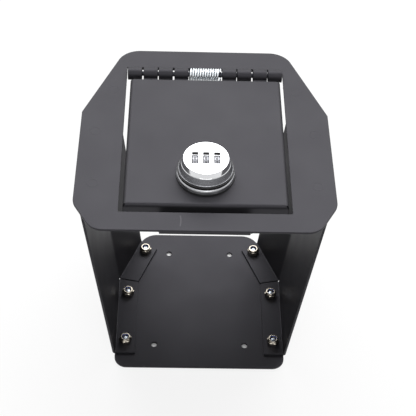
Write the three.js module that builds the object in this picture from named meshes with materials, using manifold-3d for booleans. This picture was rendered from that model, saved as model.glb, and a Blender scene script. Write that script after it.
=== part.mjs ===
// Console safe: a lift-out box of folded steel sheet with a hinged, combination-locked lid.
// Millimetres, +Z up, +Y towards the hinge, +X to the right of someone facing the lock.
// The origin lies under the middle of the top plate, on the surface that the base plate stands on.

import * as THREE from 'three';
import { mergeVertices } from 'three/addons/utils/BufferGeometryUtils.js';
import Module from 'manifold-3d';

const wasm = await Module();
wasm.setup();

// Sheet steel and fits
const sheet = 2;
const bendRadius = 3;
const bendSteps = 3;
const seatGap = 0.3;
const overcut = 1;
const overallHeight = 208;

// Top plate
const plateHalfWidth = 102;
const plateHalfDepth = 105.5;
const chamferAngle = THREE.MathUtils.degToRad(21.8);
const rearChamferLength = 80.5;
const rearCornerRadius = 20;
const frontChamferLength = 27.5;
const frontChamferWidth = 16;
const frontCornerRadius = 15;

// Lid and the opening that it closes
const sideBorder = 35.2;
const frontBorder = 18.7;
const lidRise = 3.25;
const lidFlange = 15;
const lidSideGap = 3.05;
const lidFrontGap = 4.3;

// Hinge
const hingeSetback = 32.2;
const barrelRadius = 5.5;
const leafThickness = 2;
const pinRadius = 2;
const pinClearance = 0.35;
const springBay = 28.9;
const knucklesPerSide = 4;
const hingeEndClearance = 0.8;
const hingeGap = 4.3;
const knuckleGap = 1.1;
const hingePlay = 0.3;
const casingLeafReach = 16;
const leafNotch = 1;
const lidLeafReach = 24;

// Torsion spring
const wireRadius = 0.8;
const springTurns = 11.5;
const springClearance = 0.3;
const springLegLength = 19;
const wireEnd = 2 * wireRadius;
const stepsPerCurl = 8;
const wireSides = 5;

// Side panels
const rimOverhang = 2;
const panelInwardLean = 21.5;
const panelSetback = 33.5;
const foldSetback = 1.6;
const rearSectionLength = 53.3;
const footFlange = 19.8;
const headFlange = 15.5;
const slitWidth = 1;
const reliefRadius = 1.4;
const reliefInset = 2;

// Base plate
const baseInset = 2;
const baseFrontSetback = 19.8;
const baseRearSetback = 33.3;
const baseFrontRadius = 11;
const baseRearRadius = 17;
const screwHoleRadius = 2.6;
const frontScrewInset = { side: 35.2, end: 24.5 };
const rearScrewInset = { side: 46.9, end: 24.3 };

// Studs and nyloc nuts, M6
const studRadius = 3;
const studHeadRadius = 4.6;
const studHeadHeight = 1.2;
const studInset = 11.2;
const frontStudSetback = 13;
const middleStudToFold = 18.6;
const rearStudToFold = 41.7;
const holeClearance = 0.35;
const nutAcrossFlats = 10;
const nutHexHeight = 4.4;
const nutHeight = 6;
const nutCollarRadius = 4.5;
const nylonInnerRadius = 3.35;
const nylonOuterRadius = 3.95;
const studProud = 1;

// Strike bracket and cam
const strikeWidth = 71;
const strikeDrop = 22.6;
const strikeFoot = 15;
const camClearance = 0.6;
const camThickness = 2.3;
const camWidth = 17.2;
const camOverlap = 3.4;
const camHoleSlack = 0.3;

// Lock
const lockSetback = 32.9;
const knobHeight = 18.8;
const faceRadius = 18.05;
const faceChamfer = 0.5;
const taperFootRadius = 20.1;
const gripRadius = 21.4;
const gripHeight = 7;
const gripEdge = 0.5;
const gripFlutes = 60;
const fluteDepth = 0.35;
const ringRadius = 23;
const ringTopRadius = 22.7;
const ringThickness = 3.85;
const ringEdge = 1.5;
const recessDepth = 1.3;
const gasketRadius = 23.2;
const gasketThickness = 0.9;
const groove = 2.45;
const collarRadius = 22.2;
const housingRadius = 9.5;
const housingChamfer = 0.8;
const spindleRadius = 4;
const spindleFlats = 6.4;
const spindleDiscRadius = 17;
const spindleDiscThickness = 0.6;
const spindleClearance = 0.5;
const lockNutAcrossFlats = 25;
const lockNutThickness = 4;
const washerRadius = 14;
const washerThickness = 1;
const camScrewHeadRadius = 4.5;
const camScrewHeadHeight = 2.6;
const camScrewRadius = 1.6;
const camScrewLength = 9;

// Number dials
const dialNames = ['dial_left', 'dial_middle', 'dial_right'];
const dialPitch = 8.55;
const dialRadius = 6.3;
const dialWidth = 3.9;
const dialSlack = 0.3;
const dialBelowFace = 0.4;
const dialNotches = 10;
const notchDepth = 0.35;
const notchMouth = 0.1;
const dialFlat = 0.28;
const windowLength = 11.7;
const faceThickness = 1.2;
const axleRadius = 1.2;
const axleSlack = 0.3;
const axleLength = 27;

// Levels that follow from the sizes above
const plateTop = overallHeight;
const plateUnder = plateTop - sheet;
const headFlangeTop = plateUnder - seatGap;
const footFlangeUnder = sheet + seatGap;
const lidTop = plateTop + lidRise;
const lidUnder = lidTop - sheet;
const hingeY = plateHalfDepth - hingeSetback;
const casingLeafUnder = plateUnder - seatGap - leafThickness;
const hingeZ = casingLeafUnder + barrelRadius;
const lidLeafUnder = lidUnder - seatGap - leafThickness;
const openingHalfWidth = plateHalfWidth - sideBorder;
const openingFront = -plateHalfDepth + frontBorder;
const openingRear = hingeY + barrelRadius + hingeGap;
const lidHalfWidth = openingHalfWidth - lidSideGap;
const lidFront = openingFront + lidFrontGap;
const lidRear = hingeY - barrelRadius - hingeGap;
const hingeHalfLength = openingHalfWidth - hingeEndClearance;
const knucklePitch = (hingeHalfLength - springBay / 2 + knuckleGap) / knucklesPerSide;
const knuckleLength = knucklePitch - knuckleGap;
const strikeRearFace = openingFront - seatGap;
const strikeFrontFace = strikeRearFace - sheet;
const strikeUnder = plateTop - strikeDrop;
const camTop = strikeUnder - camClearance;
const camUnder = camTop - camThickness;
const lockY = lidFront + lockSetback;
const camReach = lockY - strikeFrontFace + camOverlap;

// Plan of the folded panels: the fold runs square to the rear section's edges
const across = new THREE.Vector2(Math.cos(chamferAngle), Math.sin(chamferAngle));
const along = new THREE.Vector2(-Math.sin(chamferAngle), Math.cos(chamferAngle));
const mitre = Math.tan(chamferAngle / 2);
const rearChamferStart = plateHalfDepth - rearChamferLength;
const headFold = new THREE.Vector2(
  plateHalfWidth - rimOverhang, rearChamferStart - rimOverhang * mitre - foldSetback);
const footFold = new THREE.Vector2(
  headFold.x - panelInwardLean, headFold.y + (along.x * panelInwardLean) / along.y);
const panelFront = -plateHalfDepth + panelSetback;

// Finishes
const finish = (color, roughness, metalness) =>
  new THREE.MeshStandardMaterial({ color, roughness, metalness });
const powderCoat = () => finish(0x2b2a2d, 0.55, 0.1);
const chrome = () => finish(0xd9dadc, 0.12, 1);
const zinc = () => finish(0xb9c0c9, 0.3, 1);
const nickel = () => finish(0xcfc9bb, 0.3, 1);
const blackened = () => finish(0x2a2a2c, 0.4, 1);

const safe = new THREE.Group();

// A closed mesh made ready for cutting and joining, and the way back
function solid(geometry) {
  const plain = geometry.clone();
  plain.deleteAttribute('normal');
  plain.deleteAttribute('uv');
  const merged = mergeVertices(plain, 1e-4);
  return new wasm.Manifold(new wasm.Mesh({
    numProp: 3,
    vertProperties: new Float32Array(merged.attributes.position.array),
    triVerts: new Uint32Array(merged.index.array),
  }));
}

function geometryOf(manifold) {
  const { vertProperties, triVerts } = manifold.getMesh();
  const geometry = new THREE.BufferGeometry();
  geometry.setAttribute('position', new THREE.BufferAttribute(vertProperties, 3));
  geometry.setIndex(new THREE.BufferAttribute(triVerts, 1));
  return geometry;
}

function joined(first, ...others) {
  return others.reduce((sum, next) => sum.add(next), first);
}

function cut(body, ...tools) {
  return tools.reduce((left, tool) => left.subtract(tool), body);
}

function place(name, shape, material) {
  const geometry = shape.isBufferGeometry ? shape : geometryOf(shape);
  geometry.computeVertexNormals();
  const mesh = new THREE.Mesh(geometry, material);
  mesh.name = name;
  safe.add(mesh);
  return mesh;
}

// The same shape on the other side of the middle plane, with its faces kept outwards
function mirrored(geometry) {
  const flipped = geometry.index ? geometry.toNonIndexed() : geometry.clone();
  const position = flipped.attributes.position;
  for (let i = 0; i < position.count; i += 3) {
    const [a, b, c] = [0, 2, 1].map((k) => new THREE.Vector3().fromBufferAttribute(position, i + k));
    [a, b, c].forEach((p, k) => position.setXYZ(i + k, -p.x, p.y, p.z));
  }
  flipped.deleteAttribute('normal');
  return mergeVertices(flipped, 1e-4);
}

// Box, cylinder and prism between two levels
function block(x0, x1, y0, y1, z0, z1) {
  const box = new THREE.BoxGeometry(x1 - x0, y1 - y0, z1 - z0);
  return solid(box.translate((x0 + x1) / 2, (y0 + y1) / 2, (z0 + z1) / 2));
}

function post(x, y, z0, z1, radius, segments = radius < 5 ? 16 : 32) {
  const cylinder = new THREE.CylinderGeometry(radius, radius, z1 - z0, segments);
  return solid(cylinder.rotateX(Math.PI / 2).translate(x, y, (z0 + z1) / 2));
}

function prism(shape, z0, z1, curveSegments = 6) {
  const extrusion = new THREE.ExtrudeGeometry(shape, { depth: z1 - z0, bevelEnabled: false, curveSegments });
  return solid(extrusion.translate(0, 0, z0));
}

// A bar along X through (y, z)
function rod(x0, x1, y, z, radius, segments = 20) {
  const cylinder = new THREE.CylinderGeometry(radius, radius, x1 - x0, segments);
  return solid(cylinder.rotateZ(Math.PI / 2).translate((x0 + x1) / 2, y, z));
}

// Centre of the arc that rounds a corner, and its two ends seen from that centre
function fillet(corner, from, to, radius) {
  const before = from.clone().sub(corner).normalize();
  const after = to.clone().sub(corner).normalize();
  const half = Math.acos(THREE.MathUtils.clamp(before.dot(after), -1, 1)) / 2;
  const centre = before.clone().add(after).setLength(radius / Math.sin(half)).add(corner);
  const end = (side) => side.clone().multiplyScalar(radius / Math.tan(half)).add(corner).sub(centre).angle();
  return { centre, from: end(before), to: end(after), leftTurn: before.cross(after) < 0 };
}

// Outline through corners listed anticlockwise, each [x, y, fillet radius]
function filletedOutline(corners) {
  const shape = new THREE.Shape();
  const points = corners.map(([x, y]) => new THREE.Vector2(x, y));
  points.forEach((corner, i) => {
    const radius = corners[i][2];
    if (radius > 0) {
      const arc = fillet(corner, points.at(i - 1), points[(i + 1) % points.length], radius);
      shape.absarc(arc.centre.x, arc.centre.y, radius, arc.from, arc.to, !arc.leftTurn);
    } else if (i === 0) {
      shape.moveTo(corner.x, corner.y);
    } else {
      shape.lineTo(corner.x, corner.y);
    }
  });
  return shape;
}

function mirroredCorners(rightHalf) {
  const leftHalf = rightHalf.map(([x, y, radius]) => [-x, y, radius]).reverse();
  return filletedOutline([...rightHalf, ...leftHalf]);
}

// Surface of revolution about the vertical line through (x, y)
function turned(profile, x, y, segments = 48) {
  const points = profile.map(([radius, z]) => new THREE.Vector2(radius, z));
  const lathe = new THREE.LatheGeometry([...points, points[0]], segments);
  return solid(lathe.rotateX(Math.PI / 2).translate(x, y, 0));
}

// Rings of points, each ring joined to the next, with both ends closed
function lofted(rings) {
  const size = rings[0].length;
  const index = [];
  for (let r = 0; r + 1 < rings.length; r += 1) {
    for (let i = 0; i < size; i += 1) {
      const next = (i + 1) % size;
      const [a, b] = [r * size + i, r * size + next];
      index.push(a, b, b + size, a, b + size, a + size);
    }
  }
  const capOf = (ring, start, reversed) => {
    const fromFirst = ring.map((p) => p.clone().sub(ring[0]));
    const up = new THREE.Vector3();
    fromFirst.forEach((p, i) => up.add(p.clone().cross(fromFirst[(i + 1) % size])));
    up.normalize();
    const side = fromFirst[1].clone().projectOnPlane(up).normalize();
    const turn = up.clone().cross(side);
    const flat = ring.map((p) => new THREE.Vector2(p.dot(side), p.dot(turn)));
    for (const [a, b, c] of THREE.ShapeUtils.triangulateShape(flat, [])) {
      index.push(start + a, start + (reversed ? c : b), start + (reversed ? b : c));
    }
  };
  capOf(rings[0], 0, true);
  capOf(rings.at(-1), (rings.length - 1) * size, false);
  const geometry = new THREE.BufferGeometry();
  const coordinates = rings.flat().flatMap((p) => p.toArray());
  geometry.setAttribute('position', new THREE.Float32BufferAttribute(coordinates, 3));
  geometry.setIndex(index);
  return geometry;
}

// Top plate: laser-cut octagon with the lid opening
const plateCorner = (halfWidth, startY, endY) => halfWidth - (endY - startY) * Math.tan(chamferAngle);
const plateOutline = mirroredCorners([
  [plateHalfWidth - frontChamferWidth, -plateHalfDepth, frontCornerRadius],
  [plateHalfWidth, -plateHalfDepth + frontChamferLength, frontCornerRadius],
  [plateHalfWidth, rearChamferStart, 0],
  [plateCorner(plateHalfWidth, rearChamferStart, plateHalfDepth), plateHalfDepth, rearCornerRadius],
]);
const opening = block(
  -openingHalfWidth, openingHalfWidth, openingFront, openingRear, plateUnder - overcut, plateTop + overcut);
place('top_plate', cut(prism(plateOutline, plateUnder, plateTop, 8), opening), powderCoat());

// Folded section through a side panel: foot flange, leaning wall, head flange.
// Points are [distance inwards from the foot fold's line, height], the outside first.
function foldedSection(lean) {
  const height = headFlangeTop - footFlangeUnder;
  const leanAngle = Math.atan2(lean, height);
  const face = (depth, radius) => {
    const wallAt = (z) => depth / Math.cos(leanAngle) - z * Math.tan(leanAngle);
    const footToe = new THREE.Vector2(footFlange, depth);
    const foot = new THREE.Vector2(wallAt(depth), depth);
    const head = new THREE.Vector2(wallAt(height - depth), height - depth);
    const headToe = new THREE.Vector2(headFlange - lean, height - depth);
    const bend = (corner, before, after) => {
      const arc = fillet(corner, before, after, radius);
      const turn = Math.atan2(Math.sin(arc.to - arc.from), Math.cos(arc.to - arc.from));
      return [...Array(bendSteps + 1).keys()].map((k) => {
        const angle = arc.from + (turn * k) / bendSteps;
        return [arc.centre.x + radius * Math.cos(angle), arc.centre.y + radius * Math.sin(angle)];
      });
    };
    return [footToe.toArray(), ...bend(foot, footToe, head), ...bend(head, foot, headToe), headToe.toArray()];
  };
  return [...face(0, bendRadius), ...face(sheet, bendRadius - sheet).reverse()];
}

function sidePanel() {
  const frontLean = headFold.x - footFold.x;
  const rearLean = headFold.clone().sub(footFold).dot(across);
  const front = foldedSection(frontLean);
  const rear = foldedSection(rearLean);
  const z = (point) => footFlangeUnder + point[1];
  const frontRing = front.map((p) => new THREE.Vector3(footFold.x - p[0], panelFront, z(p)));
  const foldRing = front.map((p, i) => {
    const x = footFold.x - p[0];
    const inward = (footFold.x - x) * across.x;
    return new THREE.Vector3(x, footFold.y - (rear[i][0] - inward) / across.y, z(p));
  });
  // The rear end is cut on the fold's mitre, turned the other way, so that the toes end first
  const rearRing = rear.map((p) => {
    const end = footFold.clone().addScaledVector(along, rearSectionLength - mitre * p[0]);
    end.addScaledVector(across, -p[0]);
    return new THREE.Vector3(end.x, end.y, z(p));
  });
  return lofted([rearRing, foldRing, frontRing]);
}

// Slit between the two flanges at the fold, running inwards from a round relief in the bend
function foldSlit(fold, width, z0, z1) {
  const inward = new THREE.Vector2(-1, -mitre).normalize();
  const start = fold.clone().addScaledVector(inward, reliefInset);
  const slit = new THREE.BoxGeometry(width * 2, slitWidth, z1 - z0).translate(width, 0, 0);
  slit.rotateZ(inward.angle()).translate(start.x, start.y, (z0 + z1) / 2);
  return [solid(slit), post(start.x, start.y, z0, z1, reliefRadius)];
}

const studSpots = {
  front: new THREE.Vector2(footFold.x - studInset, panelFront + frontStudSetback),
  middle: new THREE.Vector2(footFold.x - studInset, footFold.y - middleStudToFold),
  rear: footFold.clone().addScaledVector(along, rearStudToFold).addScaledVector(across, -studInset),
};
const studHoleRadius = studRadius + holeClearance;
const panelCuts = [
  ...foldSlit(footFold, footFlange, footFlangeUnder - overcut, footFlangeUnder + sheet + overcut),
  ...foldSlit(headFold, headFlange, headFlangeTop - sheet - overcut, headFlangeTop + overcut),
  ...Object.values(studSpots).map((p) => (
    post(p.x, p.y, 0, footFlangeUnder + sheet + overcut, studHoleRadius))),
];
const rightPanel = geometryOf(cut(solid(sidePanel()), ...panelCuts));
place('right_side_panel', rightPanel, powderCoat());
place('left_side_panel', mirrored(rightPanel), powderCoat());

// Base plate: sits under the panels' foot flanges
const baseHalfWidth = footFold.x - baseInset;
const baseChamferStart = footFold.y - baseInset * mitre;
const baseFront = -plateHalfDepth + baseFrontSetback;
const baseRear = plateHalfDepth - baseRearSetback;
const screwHoles = [
  new THREE.Vector2(baseHalfWidth - frontScrewInset.side, baseFront + frontScrewInset.end),
  new THREE.Vector2(baseHalfWidth - rearScrewInset.side, baseRear - rearScrewInset.end),
];
const baseOutline = mirroredCorners([
  [baseHalfWidth, baseFront, baseFrontRadius],
  [baseHalfWidth, baseChamferStart, 0],
  [plateCorner(baseHalfWidth, baseChamferStart, baseRear), baseRear, baseRearRadius],
]);
const bothSides = [-1, 1];
const baseCuts = bothSides.flatMap((side) => [
  ...screwHoles.map((p) => post(side * p.x, p.y, -overcut, sheet + overcut, screwHoleRadius)),
  ...Object.values(studSpots).flatMap((p) => [
    post(side * p.x, p.y, -overcut, sheet + overcut, studHoleRadius),
    post(side * p.x, p.y, -overcut, studHeadHeight + seatGap, studHeadRadius + holeClearance),
  ]),
]);
place('base_plate', cut(prism(baseOutline, 0, sheet), ...baseCuts), powderCoat());

// Flush-headed studs, nyloc nuts and their nylon rings
const nutSeat = footFlangeUnder + sheet + seatGap;
const studTop = nutSeat + nutHeight + studProud;
function hexPost(x, y, z0, z1, acrossFlats) {
  return post(x, y, z0, z1, acrossFlats / Math.sqrt(3), 6);
}
for (const [spot, p] of Object.entries(studSpots)) {
  for (const side of bothSides) {
    const where = `${spot}_${side < 0 ? 'left' : 'right'}`;
    const x = side * p.x;
    const stud = joined(
      post(x, p.y, 0, studHeadHeight, studHeadRadius),
      post(x, p.y, studHeadHeight / 2, studTop, studRadius),
    );
    place(`${where}_stud`, stud, zinc());
    const recess = nutSeat + nutHexHeight;
    const nut = cut(
      joined(
        hexPost(x, p.y, nutSeat, nutSeat + nutHexHeight, nutAcrossFlats),
        post(x, p.y, nutSeat + nutHexHeight / 2, nutSeat + nutHeight, nutCollarRadius),
      ),
      post(x, p.y, 0, studTop, studHoleRadius),
      post(x, p.y, recess - seatGap, studTop, nylonOuterRadius + seatGap / 2),
    );
    place(`${where}_nut`, nut, nickel());
    const ring = cut(
      post(x, p.y, recess, nutSeat + nutHeight, nylonOuterRadius),
      post(x, p.y, 0, studTop, nylonInnerRadius),
    );
    place(`${where}_nylon_ring`, ring, finish(0x3f63a8, 0.45, 0));
  }
}

// Strike bracket: an angle under the front border, its leg hanging behind the opening's front edge
const strikeTop = plateUnder - seatGap;
const strikeProfile = filletedOutline([
  [strikeFrontFace, strikeUnder, 0],
  [strikeRearFace, strikeUnder, 0],
  [strikeRearFace, strikeTop, bendRadius],
  [strikeFrontFace - strikeFoot, strikeTop, 0],
  [strikeFrontFace - strikeFoot, strikeTop - sheet, 0],
  [strikeFrontFace, strikeTop - sheet, bendRadius - sheet],
]);
// A profile in Y and Z, carried along X
function barAlongX(profile, x0, x1) {
  const bar = new THREE.ExtrudeGeometry(profile, { depth: x1 - x0, bevelEnabled: false, curveSegments: 4 });
  const yzx = new THREE.Matrix4().makeBasis(
    new THREE.Vector3(0, 1, 0), new THREE.Vector3(0, 0, 1), new THREE.Vector3(1, 0, 0));
  return solid(bar.applyMatrix4(yzx).translate(x0, 0, 0));
}
place('strike_bracket', barAlongX(strikeProfile, -strikeWidth / 2, strikeWidth / 2), powderCoat());

// Hinge: knuckles in turn on the casing leaf and the lid leaf, on one pin
const knuckleStarts = [...Array(knucklesPerSide).keys()].map((k) => springBay / 2 + k * knucklePitch);
const isLidKnuckle = (k) => (knucklesPerSide - 1 - k) % 2 === 1;
const bore = rod(-plateHalfWidth, plateHalfWidth, hingeY, hingeZ, pinRadius + pinClearance);
const stripEdge = openingRear + leafNotch;

function hingeLeaf(ofLid, strip, underside) {
  const parts = [strip];
  const shift = ofLid ? hingePlay : 0;
  knuckleStarts.forEach((start, k) => {
    if (isLidKnuckle(k) !== ofLid) return;
    for (const side of bothSides) {
      const ends = [side * start + shift, side * (start + knuckleLength) + shift];
      const [x0, x1] = ends.sort((a, b) => a - b);
      const reach = ofLid ? [lidRear, hingeY] : [hingeY, stripEdge + leafThickness];
      parts.push(rod(x0, x1, hingeY, hingeZ, barrelRadius));
      parts.push(block(x0, x1, ...reach, underside, underside + leafThickness));
    }
  });
  return cut(joined(...parts), bore);
}

const legX = springBay / 2 - hingePlay - springClearance - wireRadius;
const legWay = wireRadius + springClearance;
const casingStrip = cut(
  block(-hingeHalfLength, hingeHalfLength, stripEdge, stripEdge + casingLeafReach,
    casingLeafUnder, casingLeafUnder + leafThickness),
  block(-legX - legWay, -legX + legWay, stripEdge - overcut, hingeY + springLegLength + legWay,
    casingLeafUnder - overcut, plateUnder),
);
place('casing_hinge_leaf', hingeLeaf(false, casingStrip, casingLeafUnder), powderCoat());

const lidStripHalf = Math.min(hingeHalfLength, lidHalfWidth - sheet - bendRadius);
const lidStrip = block(hingePlay - lidStripHalf, hingePlay + lidStripHalf, lidRear - lidLeafReach,
  lidRear + leafNotch, lidLeafUnder, lidLeafUnder + leafThickness);
place('lid_hinge_leaf', hingeLeaf(true, lidStrip, lidLeafUnder), powderCoat());

const pinHalfLength = hingeHalfLength - seatGap;
place('hinge_pin', rod(-pinHalfLength, pinHalfLength, hingeY, hingeZ, pinRadius), blackened());

// Torsion spring: one wire, wound about the pin. The last turn and its leg follow the lid.
const coilRadius = barrelRadius - wireRadius;

// Points of the wire's middle: a straight leg that meets the coil at its foot, the turns,
// and a short straight end
function windingPath(startX, turns, pitch, legDirection) {
  const points = [];
  const foot = new THREE.Vector3(startX, hingeY, hingeZ - coilRadius);
  for (const share of [1, 0.5, 0.15]) {
    points.push(foot.clone().add(new THREE.Vector3(0, legDirection * springLegLength * share, 0)));
  }
  const steps = Math.round(turns * stepsPerCurl);
  for (let i = 0; i <= steps; i += 1) {
    const angle = (2 * Math.PI * i) / stepsPerCurl;
    points.push(new THREE.Vector3(
      startX + (pitch * i) / stepsPerCurl,
      hingeY - legDirection * coilRadius * Math.sin(angle),
      hingeZ - coilRadius * Math.cos(angle),
    ));
  }
  const tangent = new THREE.Vector3(0, legDirection, 0);
  points.push(points.at(-1).clone().addScaledVector(tangent, wireEnd));
  return points;
}

// Five-sided tube along a path, its rings square to the path's bisectors
function wire(path, radius) {
  const rings = path.map((point, i) => {
    const ahead = path[Math.min(i + 1, path.length - 1)].clone().sub(path[Math.max(i - 1, 0)]).normalize();
    const outward = new THREE.Vector3(1, 0, 0).projectOnPlane(ahead).normalize();
    const up = ahead.clone().cross(outward);
    return [...Array(wireSides).keys()].map((k) => {
      const angle = (2 * Math.PI * k) / wireSides;
      return point.clone().addScaledVector(outward, radius * Math.cos(angle))
        .addScaledVector(up, radius * Math.sin(angle));
    });
  });
  return lofted(rings);
}

// Least distance between the surfaces of turns that aren't next to each other on the wire
function leastGap(path, radius) {
  let least = Infinity;
  for (let i = 0; i < path.length; i += 1) {
    for (let j = i + Math.floor(stepsPerCurl / 2); j < path.length; j += 1) {
      least = Math.min(least, path[i].distanceTo(path[j]) - 2 * radius);
    }
  }
  return least;
}

const springPitch = (2 * legX - 2 * wireRadius - springClearance) / springTurns;
const casingWinding = windingPath(-legX, springTurns, springPitch, 1);
place('torsion_spring', wire(casingWinding, wireRadius), zinc());
console.log('torsion spring, least gap between turns in mm:', leastGap(casingWinding, wireRadius).toFixed(2));
const lidWinding = windingPath(legX, 0.5, 0, -1);
place('spring_lid_leg', wire(lidWinding, wireRadius), zinc());

// Lid: a pan with its front and side edges folded down and a rounded fold. It stands to the right
// in its opening by the play in the hinge.
const foldSteps = 4;
function pan(inset, depth) {
  const radius = bendRadius - inset;
  const rear = inset > 0 ? lidRear + overcut : lidRear;
  const level = (edge, z) => [
    [-lidHalfWidth + edge, rear], [-lidHalfWidth + edge, lidFront + edge],
    [lidHalfWidth - edge, lidFront + edge], [lidHalfWidth - edge, rear],
  ].map(([x, y]) => new THREE.Vector3(x + hingePlay, y, z));
  const rings = [level(inset, lidTop - depth)];
  for (let i = 0; i <= foldSteps; i += 1) {
    const angle = (Math.PI / 2 / foldSteps) * i;
    const edge = inset + radius * (1 - Math.cos(angle));
    rings.push(level(edge, lidTop - inset - radius * (1 - Math.sin(angle))));
  }
  return solid(lofted(rings));
}
const housingWay = housingRadius + holeClearance;
const lidHole = post(0, lockY, lidUnder - overcut, lidTop + overcut, housingWay);
place('lid', cut(pan(0, lidFlange), pan(sheet, lidFlange + overcut), lidHole), powderCoat());

// Lock: gasket, fixed housing with its ring and the recess in it, the black collar on the ring,
// and the washer and nut under the lid
const gasketUnder = lidTop + seatGap;
const ringUnder = gasketUnder + gasketThickness + seatGap;
const ringTop = ringUnder + ringThickness;
const recessFloor = ringTop - recessDepth;
const recessRadius = spindleDiscRadius + spindleClearance;
const discUnder = recessFloor + seatGap;
const knobUnder = ringTop + groove;
const faceZ = lidTop + knobHeight;
const housingUnder = camTop + spindleClearance;
const spindleBore = spindleRadius + spindleClearance;
place('lock_gasket', turned([
  [housingWay, gasketUnder], [gasketRadius, gasketUnder],
  [gasketRadius, gasketUnder + gasketThickness], [housingWay, gasketUnder + gasketThickness],
], 0, lockY), finish(0x101011, 0.8, 0));
place('lock_housing', turned([
  [spindleBore, housingUnder],
  [housingRadius - housingChamfer, housingUnder],
  [housingRadius, housingUnder + housingChamfer],
  [housingRadius, ringUnder],
  [ringRadius, ringUnder],
  [ringTopRadius, ringTop - ringEdge],
  [ringTopRadius - ringEdge, ringTop],
  [recessRadius, ringTop],
  [recessRadius, recessFloor],
  [spindleBore, recessFloor],
], 0, lockY), chrome());
place('lock_collar', turned([
  [recessRadius, ringTop + seatGap], [collarRadius, ringTop + seatGap],
  [collarRadius, knobUnder - seatGap], [recessRadius, knobUnder - seatGap],
], 0, lockY), finish(0x141415, 0.55, 0));
const washerTop = lidUnder - seatGap;
const lockNutTop = washerTop - washerThickness - seatGap;
const lockNutUnder = lockNutTop - lockNutThickness;
const nutAndWasherBore = post(0, lockY, lockNutUnder - overcut, washerTop + overcut, housingWay);
place('lock_washer', cut(
  post(0, lockY, washerTop - washerThickness, washerTop, washerRadius),
  nutAndWasherBore,
), zinc());
place('lock_nut', cut(
  hexPost(0, lockY, lockNutUnder, lockNutTop, lockNutAcrossFlats),
  nutAndWasherBore,
), zinc());

// Knob: turned face and taper over a fluted grip, and a hub that reaches down through the collar,
// with slots for the dials
const fluteSamples = 2 * gripFlutes;
function knobRing(radius, z, depth = 0) {
  return [...Array(fluteSamples).keys()].map((k) => {
    const angle = (2 * Math.PI * k) / fluteSamples;
    const r = radius - (k % 2) * depth;
    return new THREE.Vector3(r * Math.cos(angle), lockY + r * Math.sin(angle), z);
  });
}
const gripTop = knobUnder + gripHeight;
const hubUnder = discUnder + spindleDiscThickness + seatGap;
const knobBlank = solid(lofted([
  knobRing(spindleDiscRadius, hubUnder),
  knobRing(spindleDiscRadius, knobUnder),
  knobRing(gripRadius - fluteDepth - gripEdge, knobUnder),
  knobRing(gripRadius, knobUnder + gripEdge, fluteDepth),
  knobRing(taperFootRadius + fluteDepth, gripTop, fluteDepth),
  knobRing(taperFootRadius, gripTop + gripEdge),
  knobRing(faceRadius, faceZ - faceChamfer),
  knobRing(faceRadius - faceChamfer, faceZ),
]));
const dialCentreZ = faceZ - dialBelowFace - dialRadius;
const dialPlaces = dialNames.map((name, k) => (k - (dialNames.length - 1) / 2) * dialPitch);
const slotHalfWidth = dialWidth / 2 + dialSlack;
const slotHalfLength = dialRadius + 2 * dialSlack;
const knobCuts = dialPlaces.flatMap((x) => [
  block(x - slotHalfWidth, x + slotHalfWidth, lockY - slotHalfLength, lockY + slotHalfLength,
    hubUnder - overcut, faceZ - faceThickness),
  block(x - slotHalfWidth, x + slotHalfWidth, lockY - windowLength / 2, lockY + windowLength / 2,
    faceZ - faceThickness - overcut, faceZ + overcut),
]);
const axleWay = rod(-axleLength / 2 - axleSlack, axleLength / 2 + axleSlack, lockY, dialCentreZ,
  axleRadius + axleSlack);
place('knob', cut(knobBlank, ...knobCuts, axleWay), chrome());
place('dial_axle', rod(-axleLength / 2, axleLength / 2, lockY, dialCentreZ, axleRadius), zinc());

// Number dials: drums with a notch between each pair of figures
function dialOutline() {
  const pitch = (2 * Math.PI) / dialNotches;
  const corners = [[-dialFlat, 0], [-notchMouth, 0], [0, notchDepth], [notchMouth, 0], [dialFlat, 0]];
  const shape = new THREE.Shape();
  for (let k = 0; k < dialNotches; k += 1) {
    for (const [share, depth] of corners) {
      const angle = (k + 0.5 + share) * pitch;
      const point = new THREE.Vector2(Math.cos(angle), Math.sin(angle)).multiplyScalar(dialRadius - depth);
      if (k === 0 && share === -dialFlat) shape.moveTo(point.x, point.y);
      else shape.lineTo(point.x, point.y);
    }
  }
  const hole = new THREE.Path();
  hole.absarc(0, 0, axleRadius + 2 * axleSlack, 0, 2 * Math.PI, true);
  shape.holes.push(hole);
  return shape;
}
dialNames.forEach((name, k) => {
  const drum = new THREE.ExtrudeGeometry(
    dialOutline(), { depth: dialWidth, bevelEnabled: false, curveSegments: 8 });
  drum.rotateY(Math.PI / 2).translate(dialPlaces[k] - dialWidth / 2, lockY, dialCentreZ);
  place(name, drum, finish(0xc9c9cb, 0.35, 0.6));
});

// Spindle: a disc that closes the knob, a round shaft and a flatted end for the cam
const spindleEnd = camUnder + seatGap;
const flatTop = camTop + seatGap;
const flats = block(-spindleFlats / 2, spindleFlats / 2, lockY - spindleRadius, lockY + spindleRadius,
  spindleEnd, flatTop + overcut);
const spindle = cut(
  joined(
    post(0, lockY, discUnder, discUnder + spindleDiscThickness, spindleDiscRadius),
    post(0, lockY, flatTop, discUnder + spindleDiscThickness / 2, spindleRadius),
    post(0, lockY, spindleEnd, flatTop + overcut, spindleRadius).intersect(flats),
  ),
  post(0, lockY, spindleEnd - overcut, spindleEnd + camScrewLength + seatGap, camScrewRadius + seatGap),
);
place('lock_spindle', spindle, zinc());

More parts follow.
